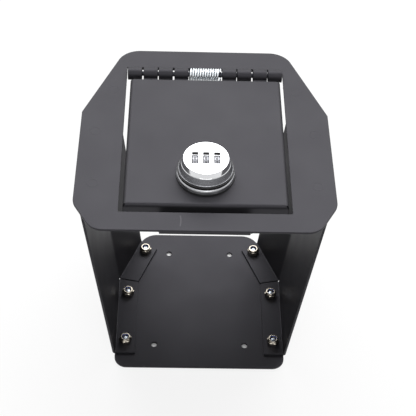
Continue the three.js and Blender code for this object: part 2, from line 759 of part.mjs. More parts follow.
// Cam: a flat bar that swings under the strike when the knob is turned a quarter turn
const camTip = camWidth / 2;
const camOutline = new THREE.Shape();
camOutline.moveTo(0, -camTip);
camOutline.lineTo(camReach - camTip, -camTip);
camOutline.absarc(camReach - camTip, 0, camTip, -Math.PI / 2, Math.PI / 2, false);
camOutline.lineTo(0, camTip);
camOutline.absarc(0, 0, camTip, Math.PI / 2, 1.5 * Math.PI, false);
const camBar = new THREE.ExtrudeGeometry(
  camOutline, { depth: camThickness, bevelEnabled: false, curveSegments: 12 });
camBar.translate(0, lockY, camUnder);
const camHole = post(0, lockY, camUnder - overcut, camTop + overcut, spindleRadius + camHoleSlack).intersect(
  block(-spindleFlats / 2 - camHoleSlack, spindleFlats / 2 + camHoleSlack,
    lockY - camWidth, lockY + camWidth, camUnder - overcut, camTop + overcut));
place('lock_cam', cut(solid(camBar), camHole), zinc());
const screwHeadTop = camUnder - seatGap;
place('cam_screw', joined(
  post(0, lockY, screwHeadTop - camScrewHeadHeight, screwHeadTop, camScrewHeadRadius),
  post(0, lockY, screwHeadTop - overcut, screwHeadTop + camScrewLength, camScrewRadius),
), zinc());

export default safe;
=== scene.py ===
"""Console safe: the finish of every piece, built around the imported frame. Metres, +Z up."""

import math

import bmesh
import bpy
import numpy as np
from mathutils import Matrix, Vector
from mathutils.geometry import tessellate_polygon


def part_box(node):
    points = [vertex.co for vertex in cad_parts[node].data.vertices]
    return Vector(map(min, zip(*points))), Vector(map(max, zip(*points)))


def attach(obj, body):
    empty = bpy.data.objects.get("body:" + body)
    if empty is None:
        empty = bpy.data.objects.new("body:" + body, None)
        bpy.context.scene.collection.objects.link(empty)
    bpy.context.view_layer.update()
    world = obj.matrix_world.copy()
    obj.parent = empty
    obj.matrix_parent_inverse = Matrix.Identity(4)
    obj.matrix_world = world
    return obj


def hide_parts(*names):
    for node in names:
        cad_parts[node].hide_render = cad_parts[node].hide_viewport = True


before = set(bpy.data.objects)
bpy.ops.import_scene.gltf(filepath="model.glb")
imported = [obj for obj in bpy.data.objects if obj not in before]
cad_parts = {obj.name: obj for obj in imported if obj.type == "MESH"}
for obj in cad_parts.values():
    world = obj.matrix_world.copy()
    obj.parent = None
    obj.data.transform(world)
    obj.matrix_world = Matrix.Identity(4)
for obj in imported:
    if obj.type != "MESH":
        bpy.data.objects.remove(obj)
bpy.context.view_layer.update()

mm = 0.001


# Studio: a pale floor, a white surround that is dimmer in reflections towards the front, a large soft lamp
# above and behind the safe for the sheen of its level sheets, and a small one in front for its folded edges.
# The camera stands in front of the lock, fitted to the straight edges of the plate and base.
camera_place = np.array([-19.1, -659.6, 829.3]) * mm
pitch, yaw, roll = np.radians([47.06, 2.08, 2.47])
ahead = np.array([math.sin(yaw) * math.cos(pitch), math.cos(yaw) * math.cos(pitch), -math.sin(pitch)])
level = np.array([math.cos(yaw), -math.sin(yaw), 0.0])
upward = np.cross(level, ahead)
camera_right = math.cos(roll) * level + math.sin(roll) * upward
camera_up = math.cos(roll) * upward - math.sin(roll) * level


def stand(thing, axes, place):
    """Sets a camera or lamp down at a place, its three axes the columns of a matrix."""
    thing.matrix_world = Matrix(np.block([[axes, np.reshape(place, (3, 1))], [np.zeros((1, 3)), 1]]).tolist())
    bpy.context.scene.collection.objects.link(thing)


camera = bpy.data.objects.new("camera", bpy.data.cameras.new("camera"))
camera.data.sensor_width = 36
camera.data.lens = 96.03
stand(camera, np.stack([camera_right, camera_up, -ahead], axis=1), camera_place)
bpy.context.scene.camera = camera
bpy.context.scene.view_settings.view_transform = "Standard"


def add(tree, kind, inputs=None, **settings):
    """Adds one shader node. Inputs are plain values, or the sockets that are linked into it."""
    node = tree.nodes.new("ShaderNode" + kind)
    for name, value in settings.items():
        setattr(node, name, value)
    for name, value in (inputs or {}).items():
        if isinstance(value, bpy.types.NodeSocket):
            tree.links.new(value, node.inputs[name])
        else:
            node.inputs[name].default_value = value
    return node


def colour(code):
    """The linear colour of an sRGB hex code, by the sRGB curve: a line near black, else a power of 2.4."""
    parts = np.array([int(code[k:k + 2], 16) for k in (1, 3, 5)]) / 255
    linear = np.where(parts <= 0.04045, parts / 12.92, ((parts + 0.055) / 1.055) ** 2.4)
    return (*linear.tolist(), 1.0)


def blank_material(name):
    """A new material with an empty node tree, its tree, and the object's own coordinates for its patterns."""
    material = bpy.data.materials.new(name)
    material.use_nodes = True
    material.node_tree.nodes.clear()
    return material, material.node_tree, add(material.node_tree, "TexCoord").outputs["Object"]


def seen_directly(tree):
    """A socket that is 1 for rays from the camera, a reflection or through glass, and 0 for the others."""
    rays = add(tree, "LightPath")
    mirrored = add(tree, "Math", {0: rays.outputs["Is Glossy Ray"], 1: rays.outputs["Is Transmission Ray"]},
                   operation="MAXIMUM")
    shown = add(tree, "Math", {0: rays.outputs["Is Camera Ray"], 1: mirrored.outputs[0]}, operation="MAXIMUM")
    return shown.outputs[0]


surround_light, front_gloss, front_way, side_way = 0.2, 0.65, -0.75, -0.1
world = bpy.data.worlds.new("white_surround")
world.use_nodes = True
world.node_tree.nodes.clear()
tree = world.node_tree
way = add(tree, "SeparateXYZ", {0: add(tree, "TexCoord").outputs["Generated"]})
dimmed = add(tree, "MapRange", {"Value": way.outputs["Y"], "From Min": front_way, "From Max": side_way,
                                "To Min": front_gloss, "To Max": 1.0})
direct = add(tree, "LightPath").outputs["Is Camera Ray"]
lit = add(tree, "Math", {0: dimmed.outputs[0], 1: direct}, operation="MAXIMUM")
shown = add(tree, "Math", {0: lit.outputs[0], 1: seen_directly(tree)}, operation="MULTIPLY")
strength = add(tree, "Math", {0: shown.outputs[0], 1: surround_light}, operation="MAXIMUM")
background = add(tree, "Background", {"Color": colour("#ffffff"), "Strength": strength.outputs[0]})
add(tree, "OutputWorld", {"Surface": background.outputs[0]})
bpy.context.scene.world = world

floor_half, floor_level, floor_white = 4.0, -0.1 * mm, 0.82
shaded_middle, shaded_radius = (0.0, -10 * mm, 0.0), 70 * mm
floor_mesh = bpy.data.meshes.new("floor")
floor_mesh.from_pydata([(x * floor_half, y * floor_half, floor_level)
                        for x, y in ((-1, -1), (1, -1), (1, 1), (-1, 1))], [], [[0, 1, 2, 3]])
floor = bpy.data.objects.new("floor", floor_mesh)
bpy.context.scene.collection.objects.link(floor)
# White paper: matt, and as bright as it looks to the eye, but for the round that the base stands on.
paper, tree, place = blank_material("white_paper")
matt = add(tree, "BsdfDiffuse", {"Color": colour("#f4f4f4")})
glow = add(tree, "Emission", {"Color": colour("#ffffff"), "Strength": 1.0})
share = add(tree, "Math", {0: seen_directly(tree), 1: floor_white}, operation="MULTIPLY")
spread = add(tree, "VectorMath", {0: place, 1: shaded_middle}, operation="DISTANCE")
open_floor = add(tree, "Math", {0: spread.outputs["Value"], 1: shaded_radius}, operation="GREATER_THAN")
lit = add(tree, "Math", {0: share.outputs[0], 1: open_floor.outputs[0]}, operation="MULTIPLY")
blend = add(tree, "MixShader", {"Fac": lit.outputs[0], 1: matt.outputs[0], 2: glow.outputs[0]})
add(tree, "OutputMaterial", {"Surface": blend.outputs[0]})
floor_mesh.materials.append(paper)


def unit(vectors):
    """The vectors over their lengths."""
    return vectors / np.linalg.norm(vectors, axis=-1, keepdims=True)


safe_middle = [0.0, 0.0, 0.12]


def softbox(name, place, size, watts):
    """A rectangular lamp at a place, turned to face the middle of the safe."""
    lamp = bpy.data.lights.new(name, "AREA")
    lamp.shape = "RECTANGLE"
    lamp.size, lamp.size_y = size
    lamp.energy = watts
    away = unit(np.subtract(place, safe_middle))
    side = unit(np.cross([0.0, 0.0, 1.0], away))
    stand(bpy.data.objects.new(name, lamp), np.stack([side, np.cross(away, side), away], axis=1), place)


softbox("rear_softbox", (0.1, 0.8, 1.45), (2.4, 1.5), 44)
softbox("front_softbox", (0.0, -0.9, 1.1), (1.0, 0.6), 5)


# Top plate: 2 mm sheet steel, laser-cut to an octagon with the lid's opening, its edges broken by tumbling,
# then powder-coated satin black with the rest of the casing.
def outline(corners, steps, land=0.0):
    """Points along a line of corners (x, y, fillet radius). A fillet is the arc that touches both edges of
    its corner: its centre lies on the bisector at radius / sin(half the angle), and it meets the edges at
    radius / tan(half the angle). A land adds a point on the edge just before and just after the arc."""
    runs = []
    for k, (x, y, radius) in enumerate(corners):
        corner = np.array([x, y], float)
        if radius == 0:
            runs.append(corner[None])
            continue
        back = unit(corners[k - 1][:2] - corner)
        onward = unit(corners[(k + 1) % len(corners)][:2] - corner)
        half = math.acos(np.clip(back @ onward, -1, 1)) / 2
        reach = radius / math.tan(half)
        middle = corner + unit(back + onward) * radius / math.sin(half)
        start, end = corner + back * reach - middle, corner + onward * reach - middle
        first = math.atan2(start[1], start[0])
        turn = (math.atan2(end[1], end[0]) - first + math.pi) % (2 * math.pi) - math.pi
        angle = first + turn * np.linspace(0, 1, steps + 1)
        arc = middle + radius * np.stack([np.cos(angle), np.sin(angle)], axis=1)
        if land > 0:
            arc = np.concatenate([arc[:1] + back * land, arc, arc[-1:] + onward * land])
        runs.append(arc)
    return np.concatenate(runs)


def circle(x, y, radius, count):
    """A closed ring of points: the centre plus the radius times cosine and sine of an even turn."""
    angle = np.linspace(0, 2 * math.pi, count, endpoint=False)
    return np.stack([x + radius * np.cos(angle), y + radius * np.sin(angle)], axis=1)


def raised(plan, height):
    """The points of a plan with a height added to each."""
    return np.concatenate([plan, np.broadcast_to(height, plan[..., :1].shape)], axis=-1)


def grid(rows, columns, close_rows=False, close_columns=False, start=0):
    """Four-cornered faces of a grid of points that are numbered row by row."""
    i = np.arange(rows if close_rows else rows - 1)[:, None]
    j = np.arange(columns if close_columns else columns - 1)[None, :]
    below, beside = (i + 1) % rows, (j + 1) % columns
    quads = [i * columns + j, below * columns + j, below * columns + beside, i * columns + beside]
    return start + np.stack([np.broadcast_to(q, (i.size, j.size)).ravel() for q in quads], axis=1)


def piece(name, points, face_groups, smooth_to=33):
    """A mesh object with its doubles merged, its faces outwards, and smooth shading up to an angle."""
    mesh = bpy.data.meshes.new(name)
    faces = [face for group in face_groups for face in np.asarray(group).tolist()]
    mesh.from_pydata(np.asarray(points).reshape(-1, 3).tolist(), [], faces)
    work = bmesh.new()
    work.from_mesh(mesh)
    bmesh.ops.remove_doubles(work, verts=work.verts, dist=0.002 * mm)
    bmesh.ops.recalc_face_normals(work, faces=work.faces)
    work.to_mesh(mesh)
    work.free()
    mesh.polygons.foreach_set("use_smooth", np.ones(len(mesh.polygons), bool))
    mesh.set_sharp_from_angle(angle=math.radians(smooth_to))
    made = bpy.data.objects.new(name, mesh)
    bpy.context.scene.collection.objects.link(made)
    return made


def anticlockwise(flat, corners):
    """The triangles, turned over where the area, half the cross product of two sides, is negative."""
    a, b, c = flat[corners].transpose(1, 0, 2)
    area = (b - a)[:, 0] * (c - a)[:, 1] - (b - a)[:, 1] * (c - a)[:, 0]
    return np.where(area[:, None] < 0, corners[:, ::-1], corners)


def filled(loops):
    """Triangles of the flat between an outline and its holes, in the loops' numbering."""
    corners = np.array(tessellate_polygon([[(x, y, 0.0) for x, y in loop.tolist()] for loop in loops]))
    return anticlockwise(np.concatenate(loops), corners)


def cut_sheet(name, loops, low, high, edge=0.3 * mm, land=0.5 * mm):
    """A flat sheet cut to closed loops, the outline first, each set by the sign of its area to run with the
    sheet on its left. The edge, a quarter round at the top and bottom, is carried round each loop along the
    mitred normal: the sum of the normals on both sides over one plus their product."""
    angle = np.linspace(0, math.pi / 2, 4)
    over = np.stack([edge * (1 - np.sin(angle)), high - edge * (1 - np.cos(angle))], axis=1)
    under = np.stack([over[::-1, 0], low + high - over[::-1, 1]], axis=1)
    profile = np.concatenate([[[edge + land, high]], over, under, [[edge + land, low]]])
    rims, faces, count = [], [], 0
    for k, loop in enumerate(loops):
        onward = np.roll(loop, -1, axis=0)
        area = (loop[:, 0] * onward[:, 1] - loop[:, 1] * onward[:, 0]).sum()
        loop = loop if (area > 0) == (k == 0) else loop[::-1]
        step = unit(np.roll(loop, -1, axis=0) - loop)
        normal = np.stack([step[:, 1], -step[:, 0]], axis=1)
        before = np.roll(normal, 1, axis=0)
        mitred = (normal + before) / (1 + (normal * before).sum(axis=1, keepdims=True))
        ring = loop[None] - profile[:, 0, None, None] * mitred[None]
        rims.append(raised(ring, profile[:, 1, None, None]))
        faces.append(grid(len(profile), len(loop), close_columns=True, start=count))
        count += rims[-1].shape[0] * len(loop)
    starts = np.cumsum([0] + [rim.shape[0] * rim.shape[1] for rim in rims[:-1]])
    top = np.concatenate([start + np.arange(rim.shape[1]) for start, rim in zip(starts, rims)])
    down = np.concatenate([np.full(rim.shape[1], (rim.shape[0] - 1) * rim.shape[1]) for rim in rims])
    fill = filled([rim[0, :, :2] for rim in rims])
    faces += [top[fill], (top + down)[fill[:, ::-1]]]
    return piece(name, np.concatenate([rim.reshape(-1, 3) for rim in rims]), faces)


def powder_coat(name, marks=None):
    """Satin black polyester powder coat, sprayed and baked on steel. Its skin has a fine orange-peel ripple
    that breaks up the sheen, with a soft cloudiness where the coat is thicker."""
    peel_width, grit_width, cloud_width = 1.6 * mm, 0.7 * mm, 34 * mm
    material, tree, place = blank_material(name)
    cloud = add(tree, "TexNoise", {"Vector": place, "Scale": 1 / cloud_width, "Detail": 3.0})
    peel = add(tree, "TexNoise", {"Vector": place, "Scale": 1 / peel_width, "Detail": 2.0})
    grit = add(tree, "TexNoise", {"Vector": place, "Scale": 1 / grit_width, "Detail": 1.0})
    tint = add(tree, "Mix", {"Factor": cloud.outputs["Fac"], "A": colour("#1b1b1d"), "B": colour("#1f1e21")},
               data_type="RGBA")
    sheen = add(tree, "MapRange", {"Value": cloud.outputs["Fac"], "From Min": 0.3, "From Max": 0.7,
                                   "To Min": 0.47, "To Max": 0.53})
    ripple = add(tree, "Bump", {"Height": peel.outputs["Fac"], "Strength": 0.6, "Distance": 0.05 * mm})
    fine = add(tree, "Bump", {"Height": grit.outputs["Fac"], "Strength": 0.5, "Distance": 0.02 * mm,
                              "Normal": ripple.outputs[0]})
    base = tint.outputs["Result"]
    if marks is not None:
        base = marks(tree, place, base)
    skin = add(tree, "BsdfPrincipled", {"Base Color": base, "Roughness": sheen.outputs[0],
                                        "Normal": fine.outputs[0], "IOR": 1.5, "Specular IOR Level": 0.32,
                                        "Specular Tint": colour("#f4f2ff")})
    add(tree, "OutputMaterial", {"Surface": skin.outputs[0]})
    return material


def dress(made, material, slot, body, *nodes):
    """Gives a piece its material, sets it on its body, and lets it stand for its CAD nodes. The slot is not
    used.
    """
    made.data.materials.append(material)
    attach(made, body)
    if nodes:
        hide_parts(*nodes)
    return made


def box_of(node):
    """The low and high corners of a CAD node's box."""
    return (np.array(corner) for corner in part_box(node))


plate_low, plate_high = box_of("top_plate")
sheet = plate_high[2] - plate_low[2]
chamfer = math.radians(21.8)
rear_chamfer_length, front_chamfer_length, front_chamfer_width = 80.5 * mm, 27.5 * mm, 16 * mm
plate_half_width, plate_half_depth = plate_high[0], plate_high[1]
rear_corner_x = plate_half_width - rear_chamfer_length * math.tan(chamfer)
plate_corners = [
    (plate_half_width - front_chamfer_width, -plate_half_depth, 15 * mm),
    (plate_half_width, front_chamfer_length - plate_half_depth, 15 * mm),
    (plate_half_width, plate_half_depth - rear_chamfer_length, 0.8 * mm),
    (rear_corner_x, plate_half_depth, 20 * mm),
]
plate_corners += [(-x, y, radius) for x, y, radius in plate_corners[::-1]]

side_border, front_border = 35.2 * mm, 18.7 * mm
hinge_low, hinge_high = box_of("hinge_pin")
hinge_y, hinge_z = (hinge_low[1:] + hinge_high[1:]) / 2
barrel_radius, hinge_gap = 5.5 * mm, 4.3 * mm
opening_half = plate_half_width - side_border
opening_front = front_border - plate_half_depth
opening_rear = hinge_y + barrel_radius + hinge_gap
opening_corner = 0.6 * mm
opening_corners = [
    (-opening_half, opening_front, opening_corner), (-opening_half, opening_rear, opening_corner),
    (opening_half, opening_rear, opening_corner), (opening_half, opening_front, opening_corner),
]


def scuff(tree, place, base):
    """A faint rub mark on the front border: a thin arc, where the distance from the arc's centre is within a
    hair of its radius, between two Y values."""
    centre, radius, hair, front, rear = (-48.7 * mm, -95.5 * mm, 0.0), 30 * mm, 0.5 * mm, -101 * mm, -90 * mm
    flat = add(tree, "VectorMath", {0: place, 1: (1.0, 1.0, 0.0)}, operation="MULTIPLY")
    span = add(tree, "VectorMath", {0: flat.outputs[0], 1: centre}, operation="DISTANCE")
    line = add(tree, "Math", {0: span.outputs["Value"], 1: radius, 2: hair}, operation="COMPARE")
    axes = add(tree, "SeparateXYZ", {0: place})
    ends = add(tree, "Math", {0: axes.outputs["Y"], 1: (front + rear) / 2, 2: (rear - front) / 2},
               operation="COMPARE")
    right = add(tree, "Math", {0: axes.outputs["X"], 1: centre[0]}, operation="GREATER_THAN")
    both = add(tree, "Math", {0: line.outputs[0], 1: ends.outputs[0]}, operation="MULTIPLY")
    all_three = add(tree, "Math", {0: both.outputs[0], 1: right.outputs[0]}, operation="MULTIPLY")
    faint = add(tree, "Math", {0: all_three.outputs[0], 1: 0.15}, operation="MULTIPLY")
    rubbed = add(tree, "Mix", {"Factor": faint.outputs[0], "A": base, "B": colour("#8a898d")},
                 data_type="RGBA")
    return rubbed.outputs["Result"]


casing_coat = powder_coat("satin_black_powder_coat")
top_coat = powder_coat("satin_black_powder_coat_rubbed", scuff)
top_plate = cut_sheet("top_plate_sheet", [outline(plate_corners, 12), outline(opening_corners, 3)],
                      plate_low[2], plate_high[2])
dress(top_plate, top_coat, "powder_coat", "casing", "top_plate")


# Plug welds: the six spots where the panels' head flanges are welded up into the top plate. Each was ground
# nearly flush before coating, which left a shallow ring that only shows in the sheen.
weld_radius, weld_rise, weld_width, weld_sunk = 4.2 * mm, 0.13 * mm, 0.55 * mm, 0.012 * mm
weld_spots = np.array([[89.5, 2.0], [88.0, -57.0], [77.5, 53.5]]) * mm
weld_spots = np.concatenate([weld_spots, weld_spots * [-1, 1]])
distance = np.concatenate([[0.0], np.linspace(2.2, 6.0, 16) * mm])
weld_height = weld_rise * np.exp(-((distance - weld_radius) / weld_width) ** 2) - weld_sunk
weld_height[0] = weld_height[1]
around = circle(0, 0, 1, 40)
rings = [raised(spot + distance[:, None, None] * around, (plate_high[2] + weld_height)[:, None, None])
         for spot in weld_spots]
starts = np.arange(len(rings)) * len(distance) * len(around)
domes = [grid(len(distance), len(around), close_columns=True, start=start) for start in starts]
bases = [start + (len(distance) - 1) * len(around) + np.arange(len(around))[None] for start in starts]
weld_marks = piece("plug_weld_marks", np.stack(rings), domes + bases, smooth_to=80)
dress(weld_marks, casing_coat, "powder_coat", "casing")


# Side panels: each is one folded sheet. A foot flange is bolted to the base, the wall leans out to the top
# plate, a head flange is welded under it, and a fold turns the rear part inwards. The flanges are slit at the
# fold, down to a small relief opening in the bend, so that the sheet can turn.
def shell(name, outer, inner, face_groups):
    """A sheet between two matching skins: the outer faces, the same faces turned over on the inner points,
    and a wall along each edge that only one face uses. Points that no face uses are left out."""
    outer, inner = outer.reshape(-1, 3), inner.reshape(-1, 3)
    used = np.unique(np.concatenate([f.ravel() for f in face_groups]))
    number = np.zeros(len(outer), int)
    number[used] = np.arange(len(used))
    outer, inner, face_groups = outer[used], inner[used], [number[f] for f in face_groups]
    edges = np.concatenate([np.stack([f, np.roll(f, -1, axis=1)], axis=-1).reshape(-1, 2)
                            for f in face_groups])
    count = len(outer)
    lone = edges[~np.isin(edges[:, 0] * count + edges[:, 1], edges[:, 1] * count + edges[:, 0])]
    walls = np.stack([lone[:, 1], lone[:, 0], lone[:, 0] + count, lone[:, 1] + count], axis=1)
    turned_over = [f[:, ::-1] + count for f in face_groups]
    return piece(name, np.concatenate([outer, inner]), [*face_groups, *turned_over, walls])


def soften(made, width=0.25 * mm):
    """Breaks the cut edges of a folded sheet with a narrow round bevel."""
    bevel = made.modifiers.new("broken_edges", "BEVEL")
    bevel.width = width
    bevel.segments = 2
    bevel.limit_method = "ANGLE"
    bevel.angle_limit = math.radians(50)
    bevel.harden_normals = True


bend_radius, bend_land, hair = 3 * mm, 0.7 * mm, 0.02 * mm
base_low, base_high = box_of("base_plate")
panel_low, panel_high = box_of("right_side_panel")
rim_overhang, inward_lean, fold_setback = 2 * mm, 21.5 * mm, 1.6 * mm
rear_length = 52.6 * mm
foot_flange, head_flange = 19.8 * mm, 15.5 * mm
half_slit, half_relief, fold_reach = 0.5 * mm, 1.2 * mm, 2.6 * mm
relief_cells, front_cells, fold_cells = 8, 4, 6
foot_under, head_top = base_high[2] + hair, plate_low[2] - hair
across = np.array([math.cos(chamfer), math.sin(chamfer)])
along = np.array([-math.sin(chamfer), math.cos(chamfer)])
mitre = math.tan(chamfer / 2)
fold_y = plate_half_depth - rear_chamfer_length - rim_overhang * mitre - fold_setback
head_fold = np.array([panel_high[0], fold_y])
foot_fold = head_fold + inward_lean * np.array([-1, along[0] / along[1]])


def panel_section(lean, depth):
    """One skin of the folded section, as (distance in from the foot's fold, height): foot flange, wall, head
    flange, with a fillet at both bends. Depth is the skin's distance in from the outer face."""
    height = head_top - foot_under
    slope = lean / height
    wall = [depth * math.hypot(1, slope) - z * slope for z in (depth, height - depth)]
    radius = bend_radius - depth
    return outline([(foot_flange, depth, 0), (wall[0], depth, radius), (wall[1], height - depth, radius),
                    (head_flange - lean, height - depth, 0)], steps=8, land=bend_land)


def panel_skin(depth):
    """One skin of a panel as a grid: the section at stations along the panel. The fold is a quadratic curve
    from the front part to the rear part, whose control point is where the two would meet. Its reach is that
    of the slit in the flanges, the relief in the bends, and the press tool's round in the wall. Both flanges'
    rear ends are cut back from the wall by the fold's mitre."""
    rear_lean = (head_fold - foot_fold) @ across
    front = panel_section(inward_lean, depth)
    rear = panel_section(rear_lean, depth)
    from_wall = rear[:, :1] + rear_lean * rear[:, 1:] / (head_top - foot_under)
    middle = np.stack([foot_fold[0] - front[:, 0],
                       foot_fold[1] - (rear[:, 0] - front[:, 0] * across[0]) / across[1]], axis=1)
    from_toe = np.minimum(np.arange(len(front)), np.arange(len(front))[::-1])
    reach = np.interp(from_toe, [1, 3, relief_cells, relief_cells + 3],
                      [half_slit, half_relief, half_relief, fold_reach])
    before, after = middle - reach[:, None] * [0, 1], middle + reach[:, None] * along
    front_end = np.stack([middle[:, 0], np.full(len(front), panel_low[1])], axis=1)
    rear_end = foot_fold + (rear_length - mitre * from_wall) * along - rear[:, :1] * across
    t = np.linspace(0, 1, fold_cells + 1)[:, None, None]
    bend = (1 - t) ** 2 * before + 2 * t * (1 - t) * middle + t ** 2 * after
    ahead_of_it = front_end + np.array([0, 0.03, 0.5, 0.97])[:, None, None] * (before - front_end)
    behind_it = after + np.array([0.05, 0.5, 0.95, 1])[:, None, None] * (rear_end - after)
    plan = np.concatenate([ahead_of_it, bend, behind_it])
    return raised(plan, foot_under + front[:, 1, None])


skins = [panel_skin(0.0), panel_skin(sheet)]
stations, columns = skins[0].shape[:2]
cells = grid(stations, columns)
cell_station, cell_column = np.divmod(np.arange(len(cells)), columns - 1)
in_fold = (cell_station >= front_cells) & (cell_station < front_cells + fold_cells)
in_slit = (cell_column < relief_cells) | (cell_column >= columns - 1 - relief_cells)
panel_faces = cells[~(in_fold & in_slit)]
for side, side_name in ((1, "right"), (-1, "left")):
    panel = shell(f"{side_name}_panel_sheet", *(skin * [side, 1, 1] for skin in skins), [panel_faces])
    soften(panel)
    dress(panel, casing_coat, "powder_coat", "casing", f"{side_name}_side_panel")


# Base plate: 2 mm sheet steel, laser-cut with rounded corners, four holes for the screws that hold the safe
# down, and six more, hidden by the panels' flanges, that the studs are pressed into.
base_half, base_front, base_rear, base_inset = base_high[0], base_low[1], base_high[1], 2 * mm
base_fold_y = foot_fold[1] - base_inset * mitre
base_corners = [
    (base_half, base_front, 11 * mm),
    (base_half, base_fold_y, 0.8 * mm),
    (base_half - (base_rear - base_fold_y) * math.tan(chamfer), base_rear, 17 * mm),
]
base_corners += [(-x, y, radius) for x, y, radius in base_corners[::-1]]
screw_hole, stud_hole = 2.6 * mm, 4.8 * mm
screw_spots = np.array([[base_half - 35.2 * mm, base_front + 24.5 * mm],
                        [base_half - 46.9 * mm, base_rear - 24.3 * mm]])
spot_names = [f"{row}_{side}" for row in ("front", "middle", "rear") for side in ("left", "right")]
stud_spots = np.array([np.mean(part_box(f"{name}_stud"), axis=0)[:2] for name in spot_names])
holes = [circle(x * side, y, screw_hole, 28) for x, y in screw_spots for side in (-1, 1)]
holes += [circle(x, y, stud_hole, 32) for x, y in stud_spots]
base_plate = cut_sheet("base_plate_sheet", [outline(base_corners, 12), *holes], base_low[2], base_high[2])
dress(base_plate, casing_coat, "powder_coat", "casing", "base_plate")


# Studs: M6 clinch studs, cold-headed steel with rolled threads, zinc-plated. The flush head is pressed into
# the underside of the base and the threaded end stops just below the top of its nut.
def revolved(profile, middle, segments, axis, reshape):
    """A surface of revolution: each profile point (radius, height) is carried round the axis through the
    middle. Reshape may change the radius, given the radius, the height and the angle round the axis."""
    radius, height = (np.tile(profile[:, k, None], segments) for k in (0, 1))
    angle = np.linspace(0, 2 * math.pi, segments, endpoint=False)[None]
    if reshape is not None:
        radius = reshape(radius, height, angle)
    circling = [radius * np.cos(angle), radius * np.sin(angle)]
    return np.stack([*circling, height] if axis == "z" else [height, *circling], axis=2) + np.asarray(middle)


def turned(name, profile, middle, segments, axis="z", reshape=None):
    """A piece turned on a lathe. A profile that starts off the axis is closed to a ring."""
    faces = grid(len(profile), segments, close_rows=profile[0, 0] > 0, close_columns=True)
    return piece(name, revolved(profile, middle, segments, axis, reshape), [faces])


def plated(name, code, roughness, cloud, cloud_width, scratch, scratch_width=0.5 * mm):
    """A plated metal skin. Cloud is how far the roughness drifts across the piece, as plating does over
    worked steel, and scratch is the depth of its fine tool marks."""
    material, tree, place = blank_material(name)
    drift = add(tree, "TexNoise", {"Vector": place, "Scale": 1 / cloud_width, "Detail": 3.0})
    dull = add(tree, "MapRange", {"Value": drift.outputs["Fac"], "From Min": 0.3, "From Max": 0.7,
                                  "To Min": roughness - cloud, "To Max": roughness + cloud})
    darker = tuple(part * 0.88 for part in colour(code)[:3]) + (1.0,)
    tint = add(tree, "Mix", {"Factor": drift.outputs["Fac"], "A": colour(code), "B": darker},
               data_type="RGBA")
    marks = add(tree, "TexNoise", {"Vector": place, "Scale": 1 / scratch_width, "Detail": 2.0})
    worked = add(tree, "Bump", {"Height": marks.outputs["Fac"], "Strength": 0.5, "Distance": scratch})
    skin = add(tree, "BsdfPrincipled", {"Base Color": tint.outputs["Result"], "Metallic": 1.0,
                                        "Roughness": dull.outputs[0], "Normal": worked.outputs[0]})
    add(tree, "OutputMaterial", {"Surface": skin.outputs[0]})
    return material


# Zinc plate, clear blue passivated: cool bright metal with a slight cloudiness.
zinc_plate = plated("bright_zinc_plate", "#bcc4cd", 0.28, 0.06, 4 * mm, 0.012 * mm)
stud_radius, stud_pitch, stud_head_height = 3 * mm, 1 * mm, 1.2 * mm
stud_sunk, thread_foot = 2.7 * mm, 3 * mm


def threaded(shank, pitch, start):
    """A reshape that rolls a thread into the shank's radius from a height on: it drops by 0.54 of the pitch
    times a triangle wave of the height, which moves on by one pitch in a turn."""
    def rolled(radius, height, angle):
        wave = np.abs(((height / pitch - angle / (2 * math.pi)) % 1) - 0.5) * 2
        on_shank = np.clip((height - start) / (0.5 * mm), 0, 1) * (np.abs(radius - shank) < hair)
        return radius - 0.54 * pitch * wave * on_shank
    return rolled


for spot in spot_names:
    low, high = box_of(f"{spot}_stud")
    tall = high[2] - low[2] - stud_sunk
    head_radius = (high[0] - low[0]) / 2
    head = outline([(0, 0, 0), (head_radius, 0, 0.15 * mm), (head_radius, stud_head_height, 0.15 * mm),
                    (stud_radius, stud_head_height, 0)], steps=3)
    rows = np.linspace(stud_head_height, tall - 1 * mm, 96)
    shank = np.stack([np.full(len(rows), stud_radius), rows], axis=1)
    tip = np.array([[2.4 * mm, tall - 0.5 * mm], [1.9 * mm, tall - 0.05 * mm], [1.7 * mm, tall], [0, tall]])
    stud = turned(f"{spot}_threaded_stud", np.concatenate([head, shank[1:], tip]),
                  [*(low[:2] + high[:2]) / 2, low[2]], segments=40,
                  reshape=threaded(stud_radius, stud_pitch, thread_foot))
    dress(stud, zinc_plate, "zinc_plate", "casing", f"{spot}_stud")


# Nyloc nuts: M6 hexagon nuts, nickel-plated, with both corners chamfered on a lathe and a rolled collar that
# grips a ring of blue nylon.
nut_flats, nut_hex_height, nut_bore, nut_face, nut_chamfer = 10 * mm, 4.4 * mm, 3.12 * mm, 4.9 * mm, 0.5 * mm
nut_corner = nut_flats / math.sqrt(3)
rolled_foot, rolled_top, rolled_lip, ring_groove = 4.6 * mm, 4.5 * mm, 3.08 * mm, 3.88 * mm
nut_turns = dict(zip(spot_names, np.radians([38, 22, 24, 36, 25, 34])))
# Nickel plate: a warmer white than the zinc and smoother, so that single flats flash in the light.
nickel_plate = plated("nickel_plate", "#b3aca0", 0.22, 0.05, 3 * mm, 0.01 * mm)


def hexagonal(flats, turned_by=0.0):
    """A reshape that keeps the smaller of the lathe's radius and a hexagon's: half the distance across the
    flats, over the cosine of the angle from the nearest flat's middle."""
    def clipped(radius, height, angle):
        from_flat = (angle - turned_by + math.pi / 6) % (math.pi / 3) - math.pi / 6
        return np.minimum(radius, flats / 2 / np.cos(from_flat))
    return clipped


def rectangle(low, high, near, far, steps=4, land=0.0):
    """A rectangle from its low to its high corner, with one fillet radius on its near side and one on its
    far side."""
    (x0, y0), (x1, y1) = low, high
    return outline([(x0, y0, near), (x1, y0, far), (x1, y1, far), (x0, y1, near)], steps, land)


